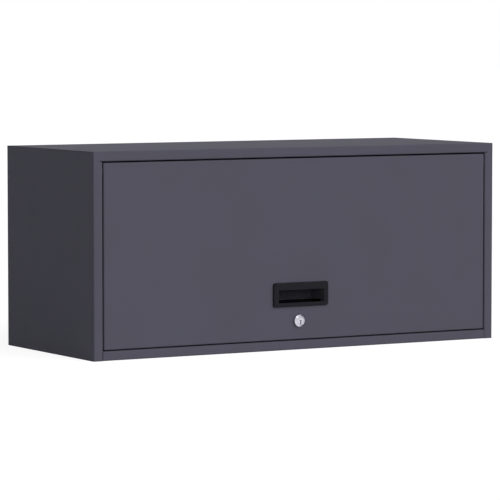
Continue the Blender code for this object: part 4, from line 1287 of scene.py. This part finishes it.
@dataclass
class GasStrut:
    """Gas strut at one side: ball stud, bracket, moulded ends, enamelled tube and chromed rod."""

    shop: Workshop
    side: Side
    plate_edge_radius: float = 0.4 * MM
    ball_radius: float = 5.0 * MM
    neck_radius: float = 2.5 * MM
    collar_radius: float = 5.5 * MM
    collar_rim: float = 1.7 * MM
    collar_soft: float = 0.3 * MM
    collar_rise: float = 0.4 * MM
    shank_radius: float = 3.0 * MM
    grip: float = 2.6 * MM
    rivet_radius: float = 4.5 * MM
    rivet_height: float = 1.5 * MM
    rivet_rim: float = 0.6 * MM
    rivet_shares: tuple[float, float] = (0.9, 0.6)
    tube_wall: float = 1.2 * MM
    tube_steps: int = 64
    end_round: float = 1.8 * MM
    lip_round: float = 1.0 * MM
    crimp_place: float = 7.0 * MM
    crimp_width: float = 1.8 * MM
    crimp_depth: float = 0.55 * MM
    crimp_shares: Shares = ((0.0, -1.6), (0.6, -0.7), (1.0, 0.0), (0.6, 0.7), (0.0, 1.6))
    rod_radius: float = 3.0 * MM
    rod_play: float = 0.25 * MM
    wiper_soft: float = 0.5 * MM
    wiper_flat: float = 1.1 * MM
    wiper_foot: float = 1.3 * MM
    wiper_height: float = 0.6 * MM
    piston_length: float = 5.0 * MM
    piston_edge: float = 0.4 * MM
    ring_depth: float = 0.7 * MM
    ring_shares: tuple[float, ...] = (0.35, 0.4, 0.6, 0.65)
    eye_drop: float = 8.0 * MM
    ball_room: float = 5.3 * MM
    mouth_share: float = 0.4
    sleeve_edge: float = 0.6 * MM
    sleeve_steps: int = 56
    rib_count: int = 3
    rib_start: float = 1.4 * MM
    rib_pitch: float = 1.5 * MM
    rib_depth: float = 0.7 * MM
    rib_drops: tuple[float, ...] = (0.25 * MM, 0.75 * MM, 1.0 * MM)
    waist_shares: tuple[float, float] = (0.97, 0.36)
    cap_share: float = 0.98
    bore_steps: int = 48
    socket_edge_radius: float = 0.25 * MM

    @property
    def tube_body(self) -> str:
        """Body that carries the tube's pieces."""
        return f"{self.side.word}_strut_tube"

    @property
    def rod_body(self) -> str:
        """Body that carries the rod's pieces."""
        return f"{self.side.word}_strut_rod"

    def build(self) -> None:
        """Builds and dresses the strut and its mount on the cabinet."""
        word, plated = self.side.word, Material.ZINC_PLATED_STEEL
        self.shop.soften(
            f"{word}_cabinet_strut_bracket", plated, "cabinet", self.plate_edge_radius
        )
        self.build_ball_stud(f"{word}_cabinet_ball_stud")
        self.build_tube(f"{word}_strut_tube")
        self.build_gland(f"{word}_strut_gland")
        self.build_rod(f"{word}_strut_rod")
        self.build_socket(f"{word}_tube_socket", self.tube_body, upwards=True)
        self.build_socket(f"{word}_rod_socket", self.rod_body, upwards=False)

    def build_ball_stud(self, node: str) -> None:
        """Polished ball on its riveted neck."""
        low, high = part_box(node)
        rivet_end = self.ball_radius - (high.x - low.x)
        rivet_top = rivet_end + self.rivet_height
        seat = rivet_top + self.grip
        rim = seat + self.collar_rim
        rounded, flat = (self.rivet_radius * share for share in self.rivet_shares)
        profile = [
            (0, self.ball_radius),
            *arc((0, 0), self.ball_radius, 84, -60, 16),
            (self.neck_radius, rim + self.collar_soft + self.collar_rise),
            (self.collar_radius - self.collar_soft, rim + self.collar_soft),
            (self.collar_radius, rim),
            (self.collar_radius, seat),
            (self.shank_radius, seat),
            (self.shank_radius, rivet_top),
            (self.rivet_radius, rivet_top),
            (rounded, rivet_end + self.rivet_rim),
            (flat, rivet_end),
            (0, rivet_end),
        ]
        inner = low.x if self.side is Side.RIGHT else high.x
        centre = middle_of(node, x=inner + self.side.sign * self.ball_radius)
        self.shop.turn(
            node, profile, self.side.inward, centre, Material.ZINC_PLATED_STEEL, "cabinet"
        )

    def build_tube(self, node: str) -> None:
        """Drawn tube with a rounded closed end and the groove rolled in round its gland."""
        low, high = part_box(node)
        radius, length = (high.x - low.x) / 2, high.z - low.z
        inner, groove = radius - self.tube_wall, length - self.crimp_place
        end, lip = self.end_round, self.lip_round
        profile = [(0, 0), *arc((radius - end, end), end, -90, 0, 6)]
        for deep, along in self.crimp_shares:
            height = groove + self.crimp_width / 2 * along
            profile.append((radius - self.crimp_depth * deep, height))
        profile += [
            *arc((radius - lip, length - lip), lip, 0, 90, 5),
            (inner, length),
            (inner, self.tube_wall),
            (0, self.tube_wall),
        ]
        self.shop.turn(
            node,
            profile,
            Axis.DOWN,
            middle_of(node, z=high.z),
            Material.BLACK_ENAMELLED_TUBE,
            self.tube_body,
            self.tube_steps,
        )

    def build_gland(self, node: str) -> None:
        """Gland that seals the rod, with a wiper lip."""
        low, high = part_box(node)
        radius, length = (high.x - low.x) / 2, high.z - low.z
        bore = self.rod_radius + self.rod_play
        profile = [
            (bore, length - self.wiper_soft),
            (bore + self.wiper_soft, length),
            (bore + self.wiper_flat, length),
            (bore + self.wiper_foot, length - self.wiper_height),
            (radius, length - self.wiper_height),
            (radius, 0),
            (bore, 0),
        ]
        seat = middle_of(node, z=high.z)
        self.shop.turn(node, profile, Axis.DOWN, seat, Material.BLACK_RUBBER, self.tube_body)

    def build_rod(self, node: str) -> None:
        """Chromed rod with its piston."""
        low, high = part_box(node)
        radius, length = (high.x - low.x) / 2, high.z - low.z
        edge, groove, piston = self.piston_edge, radius - self.ring_depth, self.piston_length
        mouth, floor, roof, lip = (piston * share for share in self.ring_shares)
        profile = [
            (0, 0),
            (radius - edge, 0),
            (radius, edge),
            (radius, mouth),
            (groove, floor),
            (groove, roof),
            (radius, lip),
            (radius, piston - edge),
            (radius - edge, piston),
            (self.rod_radius, piston),
            (self.rod_radius, length),
            (0, length),
        ]
        seat = middle_of(node, z=high.z)
        self.shop.turn(node, profile, Axis.DOWN, seat, Material.CHROMED_STEEL, self.rod_body)

    def build_socket(self, node: str, body: str, upwards: bool) -> None:
        """Moulded ball socket: a ribbed sleeve, and a round eye bored from the wall side.

        Args:
            node: Frame node that the socket stands for.
            body: Body that carries it.
            upwards: True where the eye is above the sleeve.
        """
        low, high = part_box(node)
        radius, foot = (high.x - low.x) / 2, high.z - low.z - self.eye_drop
        valley, cap = radius - self.rib_depth, radius * self.cap_share
        mouth = radius * self.mouth_share
        sleeve = [(0, foot), (radius - self.sleeve_edge, foot), (radius, foot - self.sleeve_edge)]
        for rib in range(self.rib_count):
            crest = foot - self.rib_start - rib * self.rib_pitch
            upper, lower, end = (crest - drop for drop in self.rib_drops)
            sleeve += [(radius, crest), (valley, upper), (valley, lower), (radius, end)]
        across, up = self.waist_shares
        sleeve += [(radius * across, foot * up), *arc((0, 0), cap, -4, -86, 10), (0, -cap)]
        mesh = turned(sleeve, self.sleeve_steps)
        eye = middle_of(node, z=high.z - self.eye_drop if upwards else low.z + self.eye_drop)
        way = Axis.DOWN if upwards else Axis.UP
        bmesh.ops.transform(mesh, matrix=way.at(eye), verts=mesh.verts)
        room = self.ball_room
        hollow = [
            (0, mouth),
            (room, mouth),
            (room, -radius),
            *arc((0, -radius), room, 0, -86, 10),
            (0, -radius - room),
        ]
        bore = turned(hollow, self.bore_steps)
        wall_end = eye + Vector((self.side.sign * radius, 0, 0))
        bmesh.ops.transform(bore, matrix=self.side.outward.at(wall_end), verts=bore.verts)
        mesh = round_edges(carved(mesh, bore, "DIFFERENCE"), self.socket_edge_radius)
        self.shop.stand_in(node, mesh, Material.BLACK_MOULDED_PLASTIC, body)


@dataclass(frozen=True)
class Sun:
    """Soft sun: its strength, its width in degrees and where it shines from."""

    name: str
    strength: float
    width: float
    place: Place


@dataclass
class Studio:
    """Pale floor, even surround, soft suns, a softbox and the camera at the photograph's angle."""

    floor_half: float = 30.0
    floor_drop: float = 0.2 * MM
    floor_bounce: str = "C8C8C8"
    floor_lit: str = "8C8C8C"
    floor_glow: float = 0.88
    white: str = "FFFFFF"
    ambient: float = 0.12
    suns: tuple[Sun, ...] = (
        Sun("key_light", 2.83, 60.0, (0.5, -0.85, 0.48)),
        Sun("fill_light", 0.88, 50.0, (-0.62, -0.75, 0.1)),
        Sun("back_light", 0.8, 60.0, (-0.1, 1.0, 0.1)),
    )
    softbox_power: float = 9.0
    softbox_from: Place = (-1.9, -2.1, 4.2)
    softbox_target: Place = (0, 0, 0.15)
    softbox_size: float = 0.5
    camera_place: Place = (-2.8154, -4.7944, 0.5524)
    camera_yaw: float = -30.363
    camera_pitch: float = -4.018
    lens: float = 228.0

    def build(self) -> None:
        """Sets the floor, the world, the lights, the camera and the view transform."""
        self.build_floor()
        self.build_world()
        self.build_lights()
        self.build_camera()
        bpy.context.scene.view_settings.view_transform = "Standard"

    def seen_rays(self, tree: Tree) -> Socket:
        """One for rays from the camera, a mirror or a clear piece, zero where a ray only lights."""
        path = add_node(tree, "ShaderNodeLightPath")
        seen = path.outputs["Is Camera Ray"]
        for kind in ("Is Glossy Ray", "Is Transmission Ray"):
            either = {0: seen, 1: path.outputs[kind]}
            seen = add_node(tree, "ShaderNodeMath", either, operation="MAXIMUM").outputs[0]
        return seen

    def build_floor(self) -> None:
        """Wide pale floor that shows the object's soft shadow."""
        mesh = bmesh.new()
        bmesh.ops.create_grid(mesh, x_segments=1, y_segments=1, size=self.floor_half)
        bmesh.ops.translate(mesh, verts=mesh.verts, vec=(0, 0, -self.floor_drop))
        data = bpy.data.meshes.new("studio_floor")
        mesh.to_mesh(data)
        mesh.free()
        floor = bpy.data.objects.new("studio_floor", data)
        bpy.context.scene.collection.objects.link(floor)
        material = bpy.data.materials.new("pale_studio_floor")
        material.use_nodes = True
        tree = material.node_tree
        tree.nodes.clear()
        bounce = add_node(tree, "ShaderNodeBsdfDiffuse", {"Color": rgba(self.floor_bounce)})
        lit = add_node(tree, "ShaderNodeBsdfDiffuse", {"Color": rgba(self.floor_lit)})
        glow = add_node(
            tree,
            "ShaderNodeEmission",
            {"Color": rgba(self.white), "Strength": self.floor_glow},
        )
        seen = add_node(tree, "ShaderNodeAddShader", {0: lit.outputs[0], 1: glow.outputs[0]})
        mixed = add_node(
            tree,
            "ShaderNodeMixShader",
            {0: self.seen_rays(tree), 1: bounce.outputs[0], 2: seen.outputs[0]},
        )
        add_node(tree, "ShaderNodeOutputMaterial", {"Surface": mixed.outputs[0]})
        data.materials.append(material)

    def build_world(self) -> None:
        """Even surround: white where it is seen or mirrored, dimmer where it only lights."""
        world = bpy.data.worlds.new("studio_surround")
        world.use_nodes = True
        tree = world.node_tree
        tree.nodes.clear()
        strength = add_node(
            tree,
            "ShaderNodeMapRange",
            {"Value": self.seen_rays(tree), "To Min": self.ambient, "To Max": 1.0},
        )
        surround = add_node(
            tree,
            "ShaderNodeBackground",
            {"Color": rgba(self.white), "Strength": strength.outputs["Result"]},
        )
        add_node(tree, "ShaderNodeOutputWorld", {"Surface": surround.outputs[0]})
        bpy.context.scene.world = world

    def build_lights(self) -> None:
        """Soft suns from the front right, the front left and behind, and the lock's softbox."""
        for sun in self.suns:
            light = bpy.data.lights.new(sun.name, "SUN")
            light.energy = sun.strength
            light.angle = math.radians(sun.width)
            self.aim(light, Vector(sun.place), Vector()).visible_glossy = False
        softbox = bpy.data.lights.new("softbox", "AREA")
        softbox.energy = self.softbox_power
        softbox.size = self.softbox_size
        self.aim(softbox, Vector(self.softbox_from), Vector(self.softbox_target))

    def aim(self, light: bpy.types.Light, place: Vector, target: Vector) -> bpy.types.Object:
        """Puts a light in place and turns it to its target.

        Args:
            light: Light to be placed.
            place: Where it stands.
            target: Point that it faces.

        Returns:
            The lamp that carries the light.
        """
        lamp = bpy.data.objects.new(light.name, light)
        bpy.context.scene.collection.objects.link(lamp)
        lamp.location = place
        lamp.rotation_mode = "QUATERNION"
        lamp.rotation_quaternion = (target - place).to_track_quat("-Z", "Y")
        return lamp

    def build_camera(self) -> None:
        """Camera with the place and lens worked out from the photograph's corners."""
        data = bpy.data.cameras.new("studio_camera")
        data.lens = self.lens
        camera = bpy.data.objects.new("studio_camera", data)
        bpy.context.scene.collection.objects.link(camera)
        camera.location = self.camera_place
        tilt, yaw = math.radians(90 + self.camera_pitch), math.radians(self.camera_yaw)
        camera.rotation_euler = (tilt, 0, yaw)
        bpy.context.scene.camera = camera


def main() -> None:
    """Loads the frame, dresses every sub-assembly and sets the studio."""
    logging.basicConfig(level=logging.INFO, format="%(name)s: %(message)s")
    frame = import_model()
    shop = Workshop(frame["nodes"])
    Shell(shop).build()
    Door(shop).build()
    RecessedPull(shop).build()
    CamLock(shop).build()
    for side in Side:
        HingeCorner(shop, side).build()
        GasStrut(shop, side).build()
    Studio().build()
    LOG.info("%d pieces made", shop.made)


if __name__ == "__main__":
    main()
